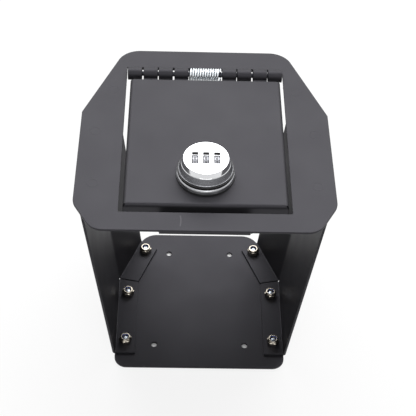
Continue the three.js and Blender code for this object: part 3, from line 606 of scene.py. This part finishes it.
# Blue nylon: moulded, glossy where the thread has rolled it, and a little paler there.
nylon, tree, place = blank_material("blue_nylon")
rolled = add(tree, "TexNoise", {"Vector": place, "Scale": 1 / (0.6 * mm), "Detail": 2.0})
tint = add(tree, "Mix", {"Factor": rolled.outputs["Fac"], "A": colour("#2646a6"), "B": colour("#3d66cc")},
           data_type="RGBA")
dent = add(tree, "Bump", {"Height": rolled.outputs["Fac"], "Strength": 0.5, "Distance": 0.03 * mm})
skin = add(tree, "BsdfPrincipled", {"Base Color": tint.outputs["Result"], "Roughness": 0.4,
                                    "Normal": dent.outputs[0], "IOR": 1.53})
add(tree, "OutputMaterial", {"Surface": skin.outputs[0]})
ring_section = rectangle((3.06 * mm, 0.2 * mm), (3.84 * mm, 1.22 * mm), 0.1 * mm, 0.1 * mm)
for spot in spot_names:
    low, high = box_of(f"{spot}_nut")
    middle = [*(low[:2] + high[:2]) / 2, low[2]]
    tall = high[2] - low[2]
    profile = outline([
        (nut_bore, 0, 0), (nut_face, 0, 0.1 * mm), (nut_corner, nut_chamfer, 0.05 * mm),
        (nut_corner, nut_hex_height - nut_chamfer, 0.05 * mm), (rolled_foot, nut_hex_height, 0.2 * mm),
        (rolled_top, tall, 0.8 * mm), (rolled_lip, tall, 0.15 * mm), (rolled_lip, tall - 0.32 * mm, 0),
        (ring_groove, tall - 0.34 * mm, 0), (ring_groove, tall - 1.3 * mm, 0), (nut_bore, tall - 1.6 * mm, 0),
    ], steps=4, land=0.03 * mm)
    nut = turned(f"{spot}_hex_nut", profile, middle, segments=96,
                 reshape=hexagonal(nut_flats, nut_turns[spot]))
    dress(nut, nickel_plate, "nickel_plate", "casing", f"{spot}_nut")
    ring_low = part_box(f"{spot}_nylon_ring")[0]
    ring = turned(f"{spot}_nylon", ring_section, [*middle[:2], ring_low[2]], segments=40)
    dress(ring, nylon, "blue_nylon", "casing", f"{spot}_nylon_ring")


# Strike bracket: a folded steel angle welded under the front border. Its leg hangs behind the opening's front
# edge, and the cam of the lock turns in under it.
strike_low, strike_high = box_of("strike_bracket")
strike_x = np.interp([0, 0.02, 0.5, 0.98, 1], [0, 1], [strike_low[0], strike_high[0]])


def angle_skin(depth):
    """One skin of the bracket: its section, as (Y, Z), at stations along X. It runs up the leg's rear face
    and forward under the plate, or a depth inside both."""
    section = outline([(strike_high[1] - depth, strike_low[2], 0),
                       (strike_high[1] - depth, plate_low[2] - hair - depth, bend_radius - depth),
                       (strike_low[1], plate_low[2] - hair - depth, 0)], steps=8, land=bend_land)
    stretched = np.broadcast_to(section, (len(strike_x), *section.shape))
    return np.roll(raised(stretched, strike_x[:, None, None]), 1, axis=2)


skins = [angle_skin(0.0), angle_skin(sheet)]
strike = shell("strike_angle", *skins, [grid(*skins[0].shape[:2])])
soften(strike)
dress(strike, casing_coat, "powder_coat", "casing", "strike_bracket")


# Hinge: four thick-walled knuckles a leaf, powder-coated with their sheets, on one steel pin. The leaves are
# welded flat to the undersides of the top plate and the lid, and the lid's knuckles stand to the right by the
# play between them.
knuckles_a_side, spring_bay, knuckle_gap, end_clearance = 4, 28.9 * mm, 1.1 * mm, 0.8 * mm
leaf_thickness, leaf_notch, pin_bore, leaf_root = 2 * mm, 1 * mm, 2.35 * mm, 3.2 * mm
hinge_half = opening_half - end_clearance
knuckle_pitch = (hinge_half - spring_bay / 2 + knuckle_gap) / knuckles_a_side
knuckle_length = knuckle_pitch - knuckle_gap
lid_low, lid_high = box_of("lid")
hinge_play = (lid_low[0] + lid_high[0]) / 2
lid_half = (lid_high[0] - lid_low[0]) / 2


def spans(of_lid):
    """The X ranges of one leaf's knuckles: every other one on both sides, from the spring's bay outwards."""
    starts = spring_bay / 2 + np.arange(0 if of_lid else 1, knuckles_a_side, 2) * knuckle_pitch
    right = np.stack([starts, starts + knuckle_length], axis=1)
    return np.concatenate([right, -right[:, ::-1]]) + (hinge_play if of_lid else 0.0)


def leaf_plan(low_x, high_x, near, far, tabs, tab_end):
    """A leaf's outline: a strip from near to far, with a tab that runs to the tab's end at each knuckle."""
    corners = [(high_x, far, 1 * mm), (high_x, near, 0)]
    for tab_low, tab_high in sorted(tabs, reverse=True):
        corners += [(tab_high, near, 0.4 * mm), (tab_high, tab_end, 0), (tab_low, tab_end, 0),
                    (tab_low, near, 0.4 * mm)]
    return outline(corners + [(low_x, near, 0), (low_x, far, 1 * mm)], steps=3)


strip_half = lid_half - sheet - bend_radius
leaves = {
    "casing": (-hinge_half, hinge_half, opening_rear + leaf_notch, 1, plate_low[2]),
    "lid": (hinge_play - strip_half, hinge_play + strip_half, lid_high[1] + leaf_notch, -1,
            lid_high[2] - sheet),
}
for leaf, (low_x, high_x, near, toward, carrier_under) in leaves.items():
    low, high = box_of(f"{leaf}_hinge_leaf")
    far = high[1] if toward > 0 else low[1]
    leaf_top = carrier_under - hair
    for x0, x1 in spans(leaf == "lid"):
        rim = rectangle((pin_bore, x0), (barrel_radius, x1), 0.2 * mm, 0.45 * mm, land=0.15 * mm)
        tube = turned(f"{leaf}_knuckle_at_{round(x0 / mm)}", rim, [0, hinge_y, hinge_z], 72, "x")
        dress(tube, casing_coat, "powder_coat", leaf, f"{leaf}_hinge_leaf")
    tabs = [(a + hair, b - hair) for a, b in spans(leaf == "lid") if low_x < a and b < high_x]
    plan = leaf_plan(low_x, high_x, near, far, tabs, hinge_y + toward * leaf_root)
    strip = cut_sheet(f"{leaf}_leaf_strip", [plan], leaf_top - leaf_thickness, leaf_top, 0.2 * mm, 0.15 * mm)
    dress(strip, casing_coat, "powder_coat", leaf, f"{leaf}_hinge_leaf")


# Hinge pin: a 4 mm rod of blackened steel, cut to length with its ends rounded and pressed through the
# knuckles. It shows as a dark line in the gaps.
pin_radius = (hinge_high[1] - hinge_low[1]) / 2
pin_rim = rectangle((0, hinge_low[0]), (pin_radius, hinge_high[0]), 0, 0.5 * mm)
# Blackened steel: oiled and nearly black, with only a thin line of light along it.
blackened_steel = plated("blackened_steel", "#34353a", 0.36, 0.06, 6 * mm, 0.01 * mm)
pin = turned("hinge_rod", pin_rim, [0, hinge_y, hinge_z], 48, "x")
dress(pin, blackened_steel, "blackened_steel", "casing", "hinge_pin")


# Torsion spring: 1.6 mm zinc-plated music wire wound about the pin. Its long leg presses up on the top plate;
# the last half turn and its leg press on the lid and follow it.
wire_radius, spring_turns, wire_clearance, spring_leg = 0.8 * mm, 11.5, 0.3 * mm, 19 * mm
coil_radius = barrel_radius - wire_radius
leg_x = spring_bay / 2 - hinge_play - wire_clearance - wire_radius


def winding(start_x, turns, pitch, toward):
    """The middle of the wire: a straight leg to the foot of the coil, then at each angle the pin's axis minus
    the coil's radius times sine and cosine, while X moves on by the pitch in a turn, and a short straight
    end."""
    angle = np.linspace(0, 2 * math.pi * turns, round(44 * turns))
    coil = np.stack([start_x + pitch * angle / (2 * math.pi),
                     hinge_y - toward * coil_radius * np.sin(angle),
                     hinge_z - coil_radius * np.cos(angle)], axis=1)
    back = np.linspace(1, 0.03, 10)[:, None] * [0, toward * spring_leg, 0]
    ends = np.array([0.4, 1.0])[:, None] * [0, toward * 2 * wire_radius, 0]
    return np.concatenate([coil[0] + back, coil, coil[-1] + ends])


def wire(name, path, sides=12):
    """A round wire: a ring at each point of the path, square to its tangent and turned from the X axis, with
    both ends drawn in to a low dome."""
    tangent = unit(np.gradient(path, axis=0))
    outward = unit(np.array([1.0, 0, 0]) - tangent[:, :1] * tangent)
    row = np.concatenate([[0, 0, 0], np.arange(1, len(path) - 1), [len(path) - 1] * 3])
    lift, width = np.zeros(len(row)), np.ones(len(row))
    lift[:3], lift[-3:] = [-0.4, -0.3, 0], [0, 0.3, 0.4]
    width[:2], width[-2:] = [0, 0.7], [0.7, 0]
    centre = path[row] + wire_radius * lift[:, None] * tangent[row]
    turn = np.linspace(0, 2 * math.pi, sides, endpoint=False)[None, :, None]
    sideways = np.cos(turn) * outward[row][:, None] + np.sin(turn) * np.cross(tangent, outward)[row][:, None]
    points = centre[:, None] + wire_radius * width[:, None, None] * sideways
    return piece(name, points, [grid(len(row), sides, close_columns=True)], smooth_to=60)


# Music wire's zinc is paler than the fasteners' and duller, so that each turn carries one soft highlight.
spring_wire = plated("zinc_plated_music_wire", "#e9eef2", 0.42, 0.05, 3 * mm, 0.01 * mm)
spring_pitch = (2 * leg_x - 2 * wire_radius - wire_clearance) / spring_turns
spring = wire("spring_wire", winding(-leg_x, spring_turns, spring_pitch, 1))
dress(spring, spring_wire, "zinc_plate", "casing", "torsion_spring")
lid_leg = wire("spring_lid_leg_wire", winding(leg_x, 0.5, 0.0, -1))
dress(lid_leg, spring_wire, "zinc_plate", "lid", "spring_lid_leg")


# Lid: 2 mm sheet steel folded down on the front and both sides to a shallow pan. The corners are left open
# along the flanges, with a small round relief in the bend, and the lock's hole is punched in the flat.
lid_slit, lid_relief, relief_rows = 0.3 * mm, 0.8 * mm, 7
lock_low, lock_high = box_of("lock_housing")
lock_x, lock_y = (lock_low[:2] + lock_high[:2]) / 2
lock_axis = [lock_x, lock_y, 0]
lock_hole = 9.85 * mm
lid_top, lid_under = lid_high[2], lid_high[2] - sheet


def lid_skin(depth):
    """One skin of the lid: the folded edge's section, as (distance in, height), carried round three sides.
    Each side's stations are its ends, its middle and a point beside the open corners. Then the hole's rim."""
    angle = np.linspace(0, math.pi / 2, 9)
    radius = bend_radius - depth
    arc = np.stack([bend_radius - radius * np.cos(angle),
                    lid_top - bend_radius + radius * np.sin(angle)], axis=1)
    section = np.concatenate([[[depth, lid_low[2]], [depth, lid_top - bend_radius - bend_land]], arc,
                              [[bend_radius + bend_land, lid_top - depth]]])
    inset = section[:, 0]
    rows = np.arange(len(section))
    open_corner = np.interp(rows, [2, 4, 8, 11], [lid_slit, lid_relief, lid_relief, lid_relief])
    left, right = lid_low[0] + inset, lid_high[0] - inset
    front, rear = lid_low[1] + inset, np.full(len(section), lid_high[1])
    corner = [np.stack(xy, axis=1) for xy in ((left, rear), (left, front), (right, front), (right, rear))]
    stations = []
    for a, b in zip(corner[:-1], corner[1:]):
        onward = unit(b - a) * open_corner[:, None]
        stations += [a, a + onward, (a + b) / 2, b - onward]
    plan = np.stack([*stations, corner[-1]])
    rim = circle(lock_x, lock_y, lock_hole, 64)
    return raised(plan, section[None, :, 1:]), raised(rim, lid_top - depth)


lid_skins = [lid_skin(depth) for depth in (0.0, sheet)]
folded, rim = lid_skins[0]
stations, rows = folded.shape[:2]
cells = grid(stations, rows)
cell_station, cell_row = np.divmod(np.arange(len(cells)), rows - 1)
beside_corner = np.isin(cell_station, [3, 4, 7, 8]) & (cell_row < relief_rows)
flat_edge = np.concatenate([np.arange(stations) * rows + rows - 1, stations * rows + np.arange(len(rim))])
lid_flat = flat_edge[filled([folded[:, -1, :2], rim[:, :2]])]
lid_sheet = shell("lid_pan", *(np.concatenate([skin.reshape(-1, 3), hole]) for skin, hole in lid_skins),
                  [cells[~beside_corner], lid_flat])
soften(lid_sheet)
dress(lid_sheet, casing_coat, "powder_coat", "lid", "lid")


# Lock body: a zinc casting, satin chrome-plated all over. Its ring stands on a rubber gasket on the lid, and
# its threaded barrel goes through the lid to a washer and a hexagon nut.
def chromed(name, code, roughness):
    """Chrome over a polished zinc casting, bright or satin by its roughness: a mirror with a faint long
    waviness, a few hairlines from handling and slightly duller patches."""
    material, tree, place = blank_material(name)
    wave = add(tree, "TexNoise", {"Vector": place, "Scale": 1 / (7 * mm), "Detail": 1.0})
    along_x = add(tree, "Mapping", {"Vector": place, "Scale": (0.12, 1.0, 1.0), "Rotation": (0.0, 0.0, 0.6)})
    hairline = add(tree, "TexNoise", {"Vector": along_x.outputs[0], "Scale": 1 / (0.5 * mm), "Detail": 2.0})
    film = add(tree, "MapRange", {"Value": wave.outputs["Fac"], "From Min": 0.35, "From Max": 0.75,
                                  "To Min": roughness * 0.7, "To Max": roughness * 1.5})
    swell = add(tree, "Bump", {"Height": wave.outputs["Fac"], "Strength": 0.3, "Distance": 0.02 * mm})
    scratch = add(tree, "Bump", {"Height": hairline.outputs["Fac"], "Strength": 0.15, "Distance": 0.004 * mm,
                                 "Normal": swell.outputs[0]})
    skin = add(tree, "BsdfPrincipled", {"Base Color": colour(code), "Metallic": 1.0,
                                        "Roughness": film.outputs[0], "Normal": scratch.outputs[0]})
    add(tree, "OutputMaterial", {"Surface": skin.outputs[0]})
    return material


# Bright chrome is nearly a mirror; satin chrome draws the studio into one soft grey band along the ring.
chrome_plate = chromed("bright_chrome_plate", "#e6e7e9", 0.07)
satin_chrome = chromed("satin_chrome_plate", "#b9babd", 0.34)
barrel, ring_foot, ring_top_radius, ring_round = 9.5 * mm, 23 * mm, 22.7 * mm, 2.1 * mm
ring_thickness, recess_depth, recess_radius, spindle_bore = 3.85 * mm, 1.3 * mm, 17.5 * mm, 4.5 * mm
ring_top, ring_under = lock_high[2], lock_high[2] - ring_thickness
thread_start = lock_low[2] + 0.9 * mm
thread_rows = np.linspace(thread_start, ring_under - 0.4 * mm, 160)
housing_profile = np.concatenate([
    [[spindle_bore, lock_low[2]], [barrel - 0.8 * mm, lock_low[2]]],
    np.stack([np.full(len(thread_rows), barrel), thread_rows], axis=1),
    outline([(barrel, ring_under, 0), (ring_foot, ring_under, 0.15 * mm),
             (ring_top_radius, ring_top, ring_round), (recess_radius, ring_top, 0.2 * mm),
             (recess_radius, ring_top - recess_depth, 0.1 * mm),
             (spindle_bore, ring_top - recess_depth, 0)], steps=5, land=0.05 * mm),
])
housing = turned("lock_body", housing_profile, lock_axis, segments=160,
                 reshape=threaded(barrel, 1.25 * mm, thread_start))
dress(housing, satin_chrome, "chrome_plate", "lid", "lock_housing")


# Gasket: a flat ring moulded from black rubber. The lock nut squeezes it between the lid and the chrome ring,
# so that it bulges out a hair past the ring.
def moulded(name, code, roughness, grain, grain_depth):
    """A moulded black skin: dull, with the fine even grain that the mould was etched with."""
    material, tree, place = blank_material(name)
    etched = add(tree, "TexNoise", {"Vector": place, "Scale": 1 / grain, "Detail": 2.0})
    dull = add(tree, "MapRange", {"Value": etched.outputs["Fac"], "To Min": roughness - 0.08,
                                  "To Max": roughness + 0.08})
    dent = add(tree, "Bump", {"Height": etched.outputs["Fac"], "Strength": 0.6, "Distance": grain_depth})
    skin = add(tree, "BsdfPrincipled", {"Base Color": colour(code), "Roughness": dull.outputs[0],
                                        "Normal": dent.outputs[0], "IOR": 1.52})
    add(tree, "OutputMaterial", {"Surface": skin.outputs[0]})
    return material


def flat_ring(name, node, inner, low, high, edge, segments=128):
    """A ring about the lock's axis with its four edges rounded, as wide as its CAD node."""
    section = rectangle((inner, low), (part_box(node)[1][0] - lock_x, high), edge, edge, 5, 0.02 * mm)
    return turned(name, section, lock_axis, segments=segments)


# Gasket rubber: dull black with a soft grain, so the ring ends below in a dark line.
rubber = moulded("black_gasket_rubber", "#101011", 0.7, 0.5 * mm, 0.02 * mm)
gasket = flat_ring("rubber_gasket", "lock_gasket", lock_hole, lid_top - hair, ring_under + hair, 0.4 * mm)
dress(gasket, rubber, "gasket_rubber", "lid", "lock_gasket")


# Collar: a sleeve moulded from black nylon that lies on the chrome ring. The knob's hub turns in it, and it
# keeps the knob's foot off the chrome.
knob_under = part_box("lock_collar")[1][2] + 0.3 * mm
collar_top = knob_under - 0.1 * mm
# Black nylon: a shade lighter than the rubber, with a little light on its rim.
black_nylon = moulded("black_nylon", "#151516", 0.5, 0.8 * mm, 0.015 * mm)
collar = flat_ring("nylon_collar", "lock_collar", recess_radius, ring_top + hair, collar_top, 0.2 * mm)
dress(collar, black_nylon, "black_nylon", "lid", "lock_collar")


# Lock nut and washer: a hexagon nut and a plain flat washer of zinc-plated steel on the housing's thread,
# tightened up against the lid from below.
washer_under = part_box("lock_washer")[0][2]
washer = flat_ring("flat_washer", "lock_washer", lock_hole, washer_under, lid_under - hair, 0.2 * mm, 96)
dress(washer, zinc_plate, "zinc_plate", "lid", "lock_washer")
nut_low, nut_high = box_of("lock_nut")
lock_nut_flats, lock_nut_chamfer = 25 * mm, 1.1 * mm
lock_nut_corner, lock_nut_face = lock_nut_flats / math.sqrt(3), lock_nut_flats / 2 - 0.2 * mm
lock_nut_profile = outline([
    (lock_hole, nut_low[2], 0.2 * mm), (lock_nut_face, nut_low[2], 0.2 * mm),
    (lock_nut_corner, nut_low[2] + lock_nut_chamfer, 0.1 * mm),
    (lock_nut_corner, nut_high[2] - lock_nut_chamfer, 0.1 * mm),
    (lock_nut_face, nut_high[2], 0.2 * mm), (lock_hole, nut_high[2], 0.2 * mm)], steps=4)
lock_nut = turned("lock_hexagon_nut", lock_nut_profile, lock_axis, segments=192,
                  reshape=hexagonal(lock_nut_flats))
dress(lock_nut, zinc_plate, "zinc_plate", "lid", "lock_nut")


# Knob: a chrome-plated casting with a diamond-knurled grip, a cone above it and a flat face. Three slots go
# right through it for the dials. Their rims and sides are painted black, which is also painted shade for the
# gaps around the dials; in the face they narrow to windows.
knob_low, knob_high = box_of("knob")
hub_radius, lip_radius, grip_foot, grip_head = 17 * mm, 21.4 * mm, 21.2 * mm, 19.5 * mm
taper_foot, face_radius, grip_height, face_thickness = 19.15 * mm, 17.75 * mm, 6.6 * mm, 1.7 * mm
knurls, knurl_depth, knurl_samples, knurl_lead = 120, 0.28 * mm, 5, 1.15 * mm
dial_pitch, slot_half_width, slot_half_length, window_half_length = 8.55 * mm, 2.5 * mm, 6.9 * mm, 6.4 * mm
face, knob_under_hub, slot_corner = knob_high[2], knob_low[2], 0.3 * mm
knurl_foot, knurl_head = knob_under + 0.9 * mm, knob_under + grip_height
knurl_rows = np.linspace(0, 1, 30)[:, None]
knob_profile = np.concatenate([
    outline([(hub_radius - 1 * mm, knob_under_hub, 0), (hub_radius, knob_under_hub, 0.15 * mm),
             (hub_radius, knob_under, 0.15 * mm), (lip_radius, knob_under, 0.3 * mm),
             (lip_radius, knob_under + 0.75 * mm, 0.2 * mm), (grip_foot, knurl_foot - 0.1 * mm, 0)], steps=4),
    (1 - knurl_rows) * [grip_foot, knurl_foot] + knurl_rows * [grip_head, knurl_head],
    outline([(grip_head - 0.1 * mm, knurl_head + 0.15 * mm, 0),
             (taper_foot, knurl_head + 0.45 * mm, 0.15 * mm), (face_radius, face, 0.5 * mm),
             (face_radius - 1.5 * mm, face, 0)], steps=6, land=0.1 * mm),
])


def knurled(radius, height, angle):
    """A reshape that rolls in the diamond knurl: between its two ends, the larger of two triangle waves comes
    off, one that winds up to the right, and one that winds up to the left."""
    turns, rise = angle * knurls / (2 * math.pi), (height - knurl_foot) / knurl_lead
    waves = [np.abs(((turns + way * rise) % 1) - 0.5) * 2 for way in (-1, 1)]
    within = np.clip(np.minimum(height - knurl_foot, knurl_head - height) / (0.2 * mm), 0, 1)
    return radius - knurl_depth * np.maximum(*waves) * within


around = knurls * knurl_samples
body_points = revolved(knob_profile, lock_axis, around, "z", knurled)
# Each step down a slot: how far it flares, its depth below the face, and half its length.
window_steps = np.array([
    (0.08 * mm, 0, window_half_length), (0.02 * mm, 0.03 * mm, window_half_length),
    (0, 0.1 * mm, window_half_length), (0, face_thickness, window_half_length),
    (0, face_thickness + 0.05 * mm, 4.6 * mm), (0, 2.5 * mm, 5.2 * mm), (0, 3.5 * mm, 5.9 * mm),
    (0, 4.6 * mm, 6.4 * mm), (0, 5.5 * mm, slot_half_length), (0, face - knob_under_hub, slot_half_length)])
knob_points, knob_faces = [body_points.reshape(-1, 3)], [grid(len(knob_profile), around, close_columns=True)]
rims_above, rims_below, count = [], [], body_points.shape[0] * around
for x in lock_x + np.array([-1, 0, 1]) * dial_pitch:
    rims = []
    for flare, below, half_length in window_steps:
        reach = np.array([slot_half_width + flare, half_length + flare])
        edge = slot_corner + flare
        rim = rectangle([x, lock_y] - reach, [x, lock_y] + reach, edge, edge, steps=5)
        rims.append(raised(rim, face - below))
    knob_points.append(np.concatenate(rims))
    knob_faces.append(grid(len(rims), len(rim), close_columns=True, start=count))
    rims_above.append((count, rims[0][:, :2]))
    rims_below.append((count + (len(rims) - 1) * len(rim), rims[-1][:, :2]))
    count += len(rims) * len(rim)
for first, row, rims in (((len(knob_profile) - 1) * around, -1, rims_above), (0, 0, rims_below)):
    numbers = [first + np.arange(around), *(start + np.arange(len(rim)) for start, rim in rims)]
    triangles = filled([body_points[row, :, :2], *(rim for start, rim in rims)])
    knob_faces.append(np.concatenate(numbers)[triangles])
knob = piece("knurled_knob", np.concatenate(knob_points), knob_faces, smooth_to=30)
dress(knob, chrome_plate, "chrome_plate", "lock_knob", "knob")
# The slots' paint is flat black, so that the figures stand out, and it is also painted shade for the dark
# gaps around the dials. It covers their rims and the walls that face sideways. The knurl's chrome is given a
# darker colour as painted shade for its fine grooves, so it reads darker and softer than the face.
knob.data.materials.append(moulded("black_paint_and_slot_shade", "#0b0b0c", 0.6, 0.4 * mm, 0.01 * mm))
knob.data.materials.append(chromed("knurl_chrome_painted_shade", "#8f9094", 0.22))
centres, facing = np.empty((2, len(knob.data.polygons) * 3))
knob.data.polygons.foreach_get("center", centres)
knob.data.polygons.foreach_get("normal", facing)
from_side, from_front, height = np.abs(centres.reshape(-1, 3) - lock_axis).T
# The black paint in the slots, which is also painted shade for the gaps around the dials.
slot_paint_and_shade = (from_side < dial_pitch + slot_half_width + hair) & (from_front < slot_half_length + hair)
below_face = face - height
rim_or_side = (below_face < face_thickness) | (np.abs(facing[::3]) > 0.7)
slot_paint_and_shade &= (below_face > 0.08 * mm) & (height > knob_under_hub + hair) & rim_or_side
# The knurl's darker chrome colour is painted shade for its grooves.
knurl_painted_shade = (height < knurl_head) & (np.hypot(from_side, from_front) > face_radius)
knob.data.polygons.foreach_set("material_index", slot_paint_and_shade + 2 * knurl_painted_shade)


# Dials: three turned drums on one steel axle, satin-plated, each with ten figures rolled in and filled with
# black, and a notch between each two for the detent spring.
axle_low, axle_high = box_of("dial_axle")
axle_radius = (axle_high[1] - axle_low[1]) / 2
dial_z = (axle_low[2] + axle_high[2]) / 2
axle_rim = rectangle((0, axle_low[0]), (axle_radius, axle_high[0]), 0, 0.2 * mm, steps=3)
axle = turned("dial_axle_rod", axle_rim, [0, lock_y, dial_z], 32, "x")
dress(axle, zinc_plate, "zinc_plate", "lock_knob", "dial_axle")

# Dial metal: satin nickel, a flat mid grey that the black figures show on. The filling is a slightly glossy
# paint that stands a hair proud, so its edge catches the light.
dial_metal = plated("satin_nickel_dial", "#94959a", 0.36, 0.05, 2 * mm, 0.006 * mm)
filling = moulded("black_filling_paint", "#1c1c1f", 0.45, 0.4 * mm, 0.005 * mm)
figures, figure_height, figure_rise, figure_depth = 10, 2.9 * mm, 0.03 * mm, 0.12 * mm
notch_depth, notch_share, dial_bore = 0.35 * mm, 0.11, 1.8 * mm
figure_step = 2 * math.pi / figures


def notched(radius, height, angle):
    """A reshape that cuts a V between each two figures: deepest half a step from a figure's middle."""
    from_figure = np.abs(((angle - math.pi / 2) / figure_step + 0.5) % 1 - 0.5)
    notch = np.clip(1 - (0.5 - from_figure) / notch_share, 0, 1)
    return radius - notch_depth * notch * (radius > dial_bore * 2)


def figure_shape(number):
    """A figure as flat triangles, upright about the origin and figure_height tall. It is sliced level by
    level, so that it can follow the drum."""
    text = bpy.data.curves.new("figure", "FONT")
    text.body = str(number)
    text.align_x = "CENTER"
    text.offset = 0.025
    holder = bpy.data.objects.new("figure", text)
    bpy.context.scene.collection.objects.link(holder)
    work = bmesh.new()
    work.from_mesh(holder.to_mesh())
    bpy.data.objects.remove(holder)
    height = np.array([v.co.y for v in work.verts])
    for level in np.linspace(height.min(), height.max(), 9)[1:-1]:
        bmesh.ops.bisect_plane(work, geom=[*work.verts, *work.edges, *work.faces], plane_co=(0, level, 0),
                               plane_no=(0, 1, 0))
    bmesh.ops.remove_doubles(work, verts=work.verts, dist=1e-5)
    bmesh.ops.triangulate(work, faces=work.faces)
    work.verts.index_update()
    flat = np.array([v.co[:2] for v in work.verts])
    corners = np.array([[v.index for v in face.verts] for face in work.faces])
    work.free()
    middle = (flat.min(axis=0) + flat.max(axis=0)) / 2
    return (flat - middle) * figure_height / np.ptp(flat[:, 1]), anticlockwise(flat, corners)


shapes = [figure_shape(number) for number in range(figures)]
for name, shown in (("left", 0), ("middle", 8), ("right", 6)):
    low, high = box_of(f"dial_{name}")
    dial_x, dial_radius = (low[0] + high[0]) / 2, high[2] - dial_z
    half = (high[0] - low[0]) / 2
    drum_rim = rectangle((dial_bore, -half), (dial_radius, half), 0.1 * mm, 0.2 * mm, land=0.02 * mm)
    drum = turned(f"dial_drum_{name}", drum_rim, [dial_x, lock_y, dial_z], 240, "x", notched)
    dress(drum, dial_metal, "dial_metal", f"{name}_dial", f"dial_{name}")
    skins, triangles, count = ([], []), [], 0
    for number, (flat, corners) in enumerate(shapes):
        angle = math.pi / 2 + (number - shown) * figure_step - flat[:, 1] / dial_radius
        for skin, lift in zip(skins, (figure_rise, -figure_depth)):
            radius = dial_radius + lift
            skin.append(np.stack([dial_x + flat[:, 0], lock_y + radius * np.cos(angle),
                                  dial_z + radius * np.sin(angle)], axis=1))
        triangles.append(corners + count)
        count += len(flat)
    marks = shell(f"dial_figures_{name}", *(np.concatenate(skin) for skin in skins),
                  [np.concatenate(triangles)])
    dress(marks, filling, "dial_metal", f"{name}_dial")


# Spindle: a shaft turned from steel and zinc-plated. Its wide disc closes the knob from below, and the two
# flats that are milled on its lower end drive the cam.
spindle_low, spindle_high = box_of("lock_spindle")
cam_low, cam_high = box_of("lock_cam")
spindle_radius, disc_thickness, spindle_flats = 4 * mm, 0.6 * mm, 6.4 * mm
disc_radius = (spindle_high[0] - spindle_low[0]) / 2
shoulder, disc_under = cam_high[2] + 0.3 * mm, spindle_high[2] - disc_thickness
spindle_profile = outline([
    (0, spindle_low[2], 0), (spindle_radius, spindle_low[2], 0.3 * mm), (spindle_radius, shoulder, 0),
    (spindle_radius, shoulder + 0.01 * mm, 0), (spindle_radius, disc_under, 0),
    (disc_radius, disc_under, 0.15 * mm), (disc_radius, spindle_high[2], 0.15 * mm),
    (0, spindle_high[2], 0)], steps=4)


def flatted(radius, height, angle):
    """A reshape that mills two flats on the end: up to the shoulder, the radius is kept under half the
    distance between them over the angle's cosine."""
    to_flat = spindle_flats / 2 / np.maximum(np.abs(np.cos(angle)), 0.1)
    return np.where(height < shoulder + 0.005 * mm, np.minimum(radius, to_flat), radius)


spindle = turned("spindle_shaft", spindle_profile, lock_axis, segments=96, reshape=flatted)
dress(spindle, zinc_plate, "zinc_plate", "lock_knob", "lock_spindle")


# Cam: a bar with round ends, stamped from 2.3 mm steel and zinc-plated. It sits on the spindle's flats and
# turns under the strike bracket.
cam_half = (cam_high[1] - cam_low[1]) / 2
end_round, cam_hole_radius, cam_hole_half = cam_half - hair, 4.3 * mm, 3.5 * mm
cam_plan = rectangle(cam_low[:2], cam_high[:2], end_round, end_round, steps=18)
cam_hole = circle(lock_x, lock_y, cam_hole_radius, 48)
cam_hole[:, 0] = np.clip(cam_hole[:, 0], lock_x - cam_hole_half, lock_x + cam_hole_half)
cam = cut_sheet("cam_bar", [cam_plan, cam_hole], cam_low[2], cam_high[2], 0.4 * mm, 0.2 * mm)
dress(cam, zinc_plate, "zinc_plate", "lock_knob", "lock_cam")


# Cam screw: a cold-headed steel pan head with a cross recess, zinc-plated. It is screwed up into the
# spindle's end and holds the cam.
screw_low, screw_high = box_of("cam_screw")
head_radius, head_height, screw_radius = (screw_high[0] - screw_low[0]) / 2, 2.6 * mm, 1.6 * mm
head_top = screw_low[2] + head_height
cross_width, cross_length, cross_depth = 0.6 * mm, 2.5 * mm, 1.4 * mm
head_rows = np.linspace(0, 0.72, 28)[:, None] * head_radius
dome = screw_low[2] + 0.35 * mm * (head_rows / head_radius) ** 2
screw_profile = np.concatenate([
    np.concatenate([head_rows, dome], axis=1),
    outline([(0.8 * head_radius, screw_low[2] + 0.25 * mm, 0),
             (head_radius, screw_low[2] + 0.6 * mm, 0.7 * mm), (head_radius, head_top, 0.2 * mm),
             (screw_radius, head_top, 0)], steps=5)[1:],
    [[screw_radius, screw_high[2] - 0.4 * mm], [screw_radius - 0.4 * mm, screw_high[2]], [0, screw_high[2]]]])
screw = turned("cam_pan_screw", screw_profile, lock_axis, segments=120)
# The cross: both of its bars are pressed in where the nearer distance is under its width and the farther one
# under its length.
points = np.empty(len(screw.data.vertices) * 3)
screw.data.vertices.foreach_get("co", points)
points = points.reshape(-1, 3)
x, y = np.abs(points[:, 0] - lock_x), np.abs(points[:, 1] - lock_y)
across_bar, along_bar = np.minimum(x, y), np.maximum(x, y)
within_width = np.clip((cross_width - across_bar) / (0.25 * mm), 0, 1)
within_length = np.clip((cross_length - along_bar) / (0.9 * mm), 0, 1)
on_head = points[:, 2] < screw_low[2] + 0.5 * mm
points[:, 2] += cross_depth * within_width * within_length * on_head
screw.data.vertices.foreach_set("co", points.ravel())
screw.data.update()
dress(screw, zinc_plate, "zinc_plate", "lock_knob", "cam_screw")
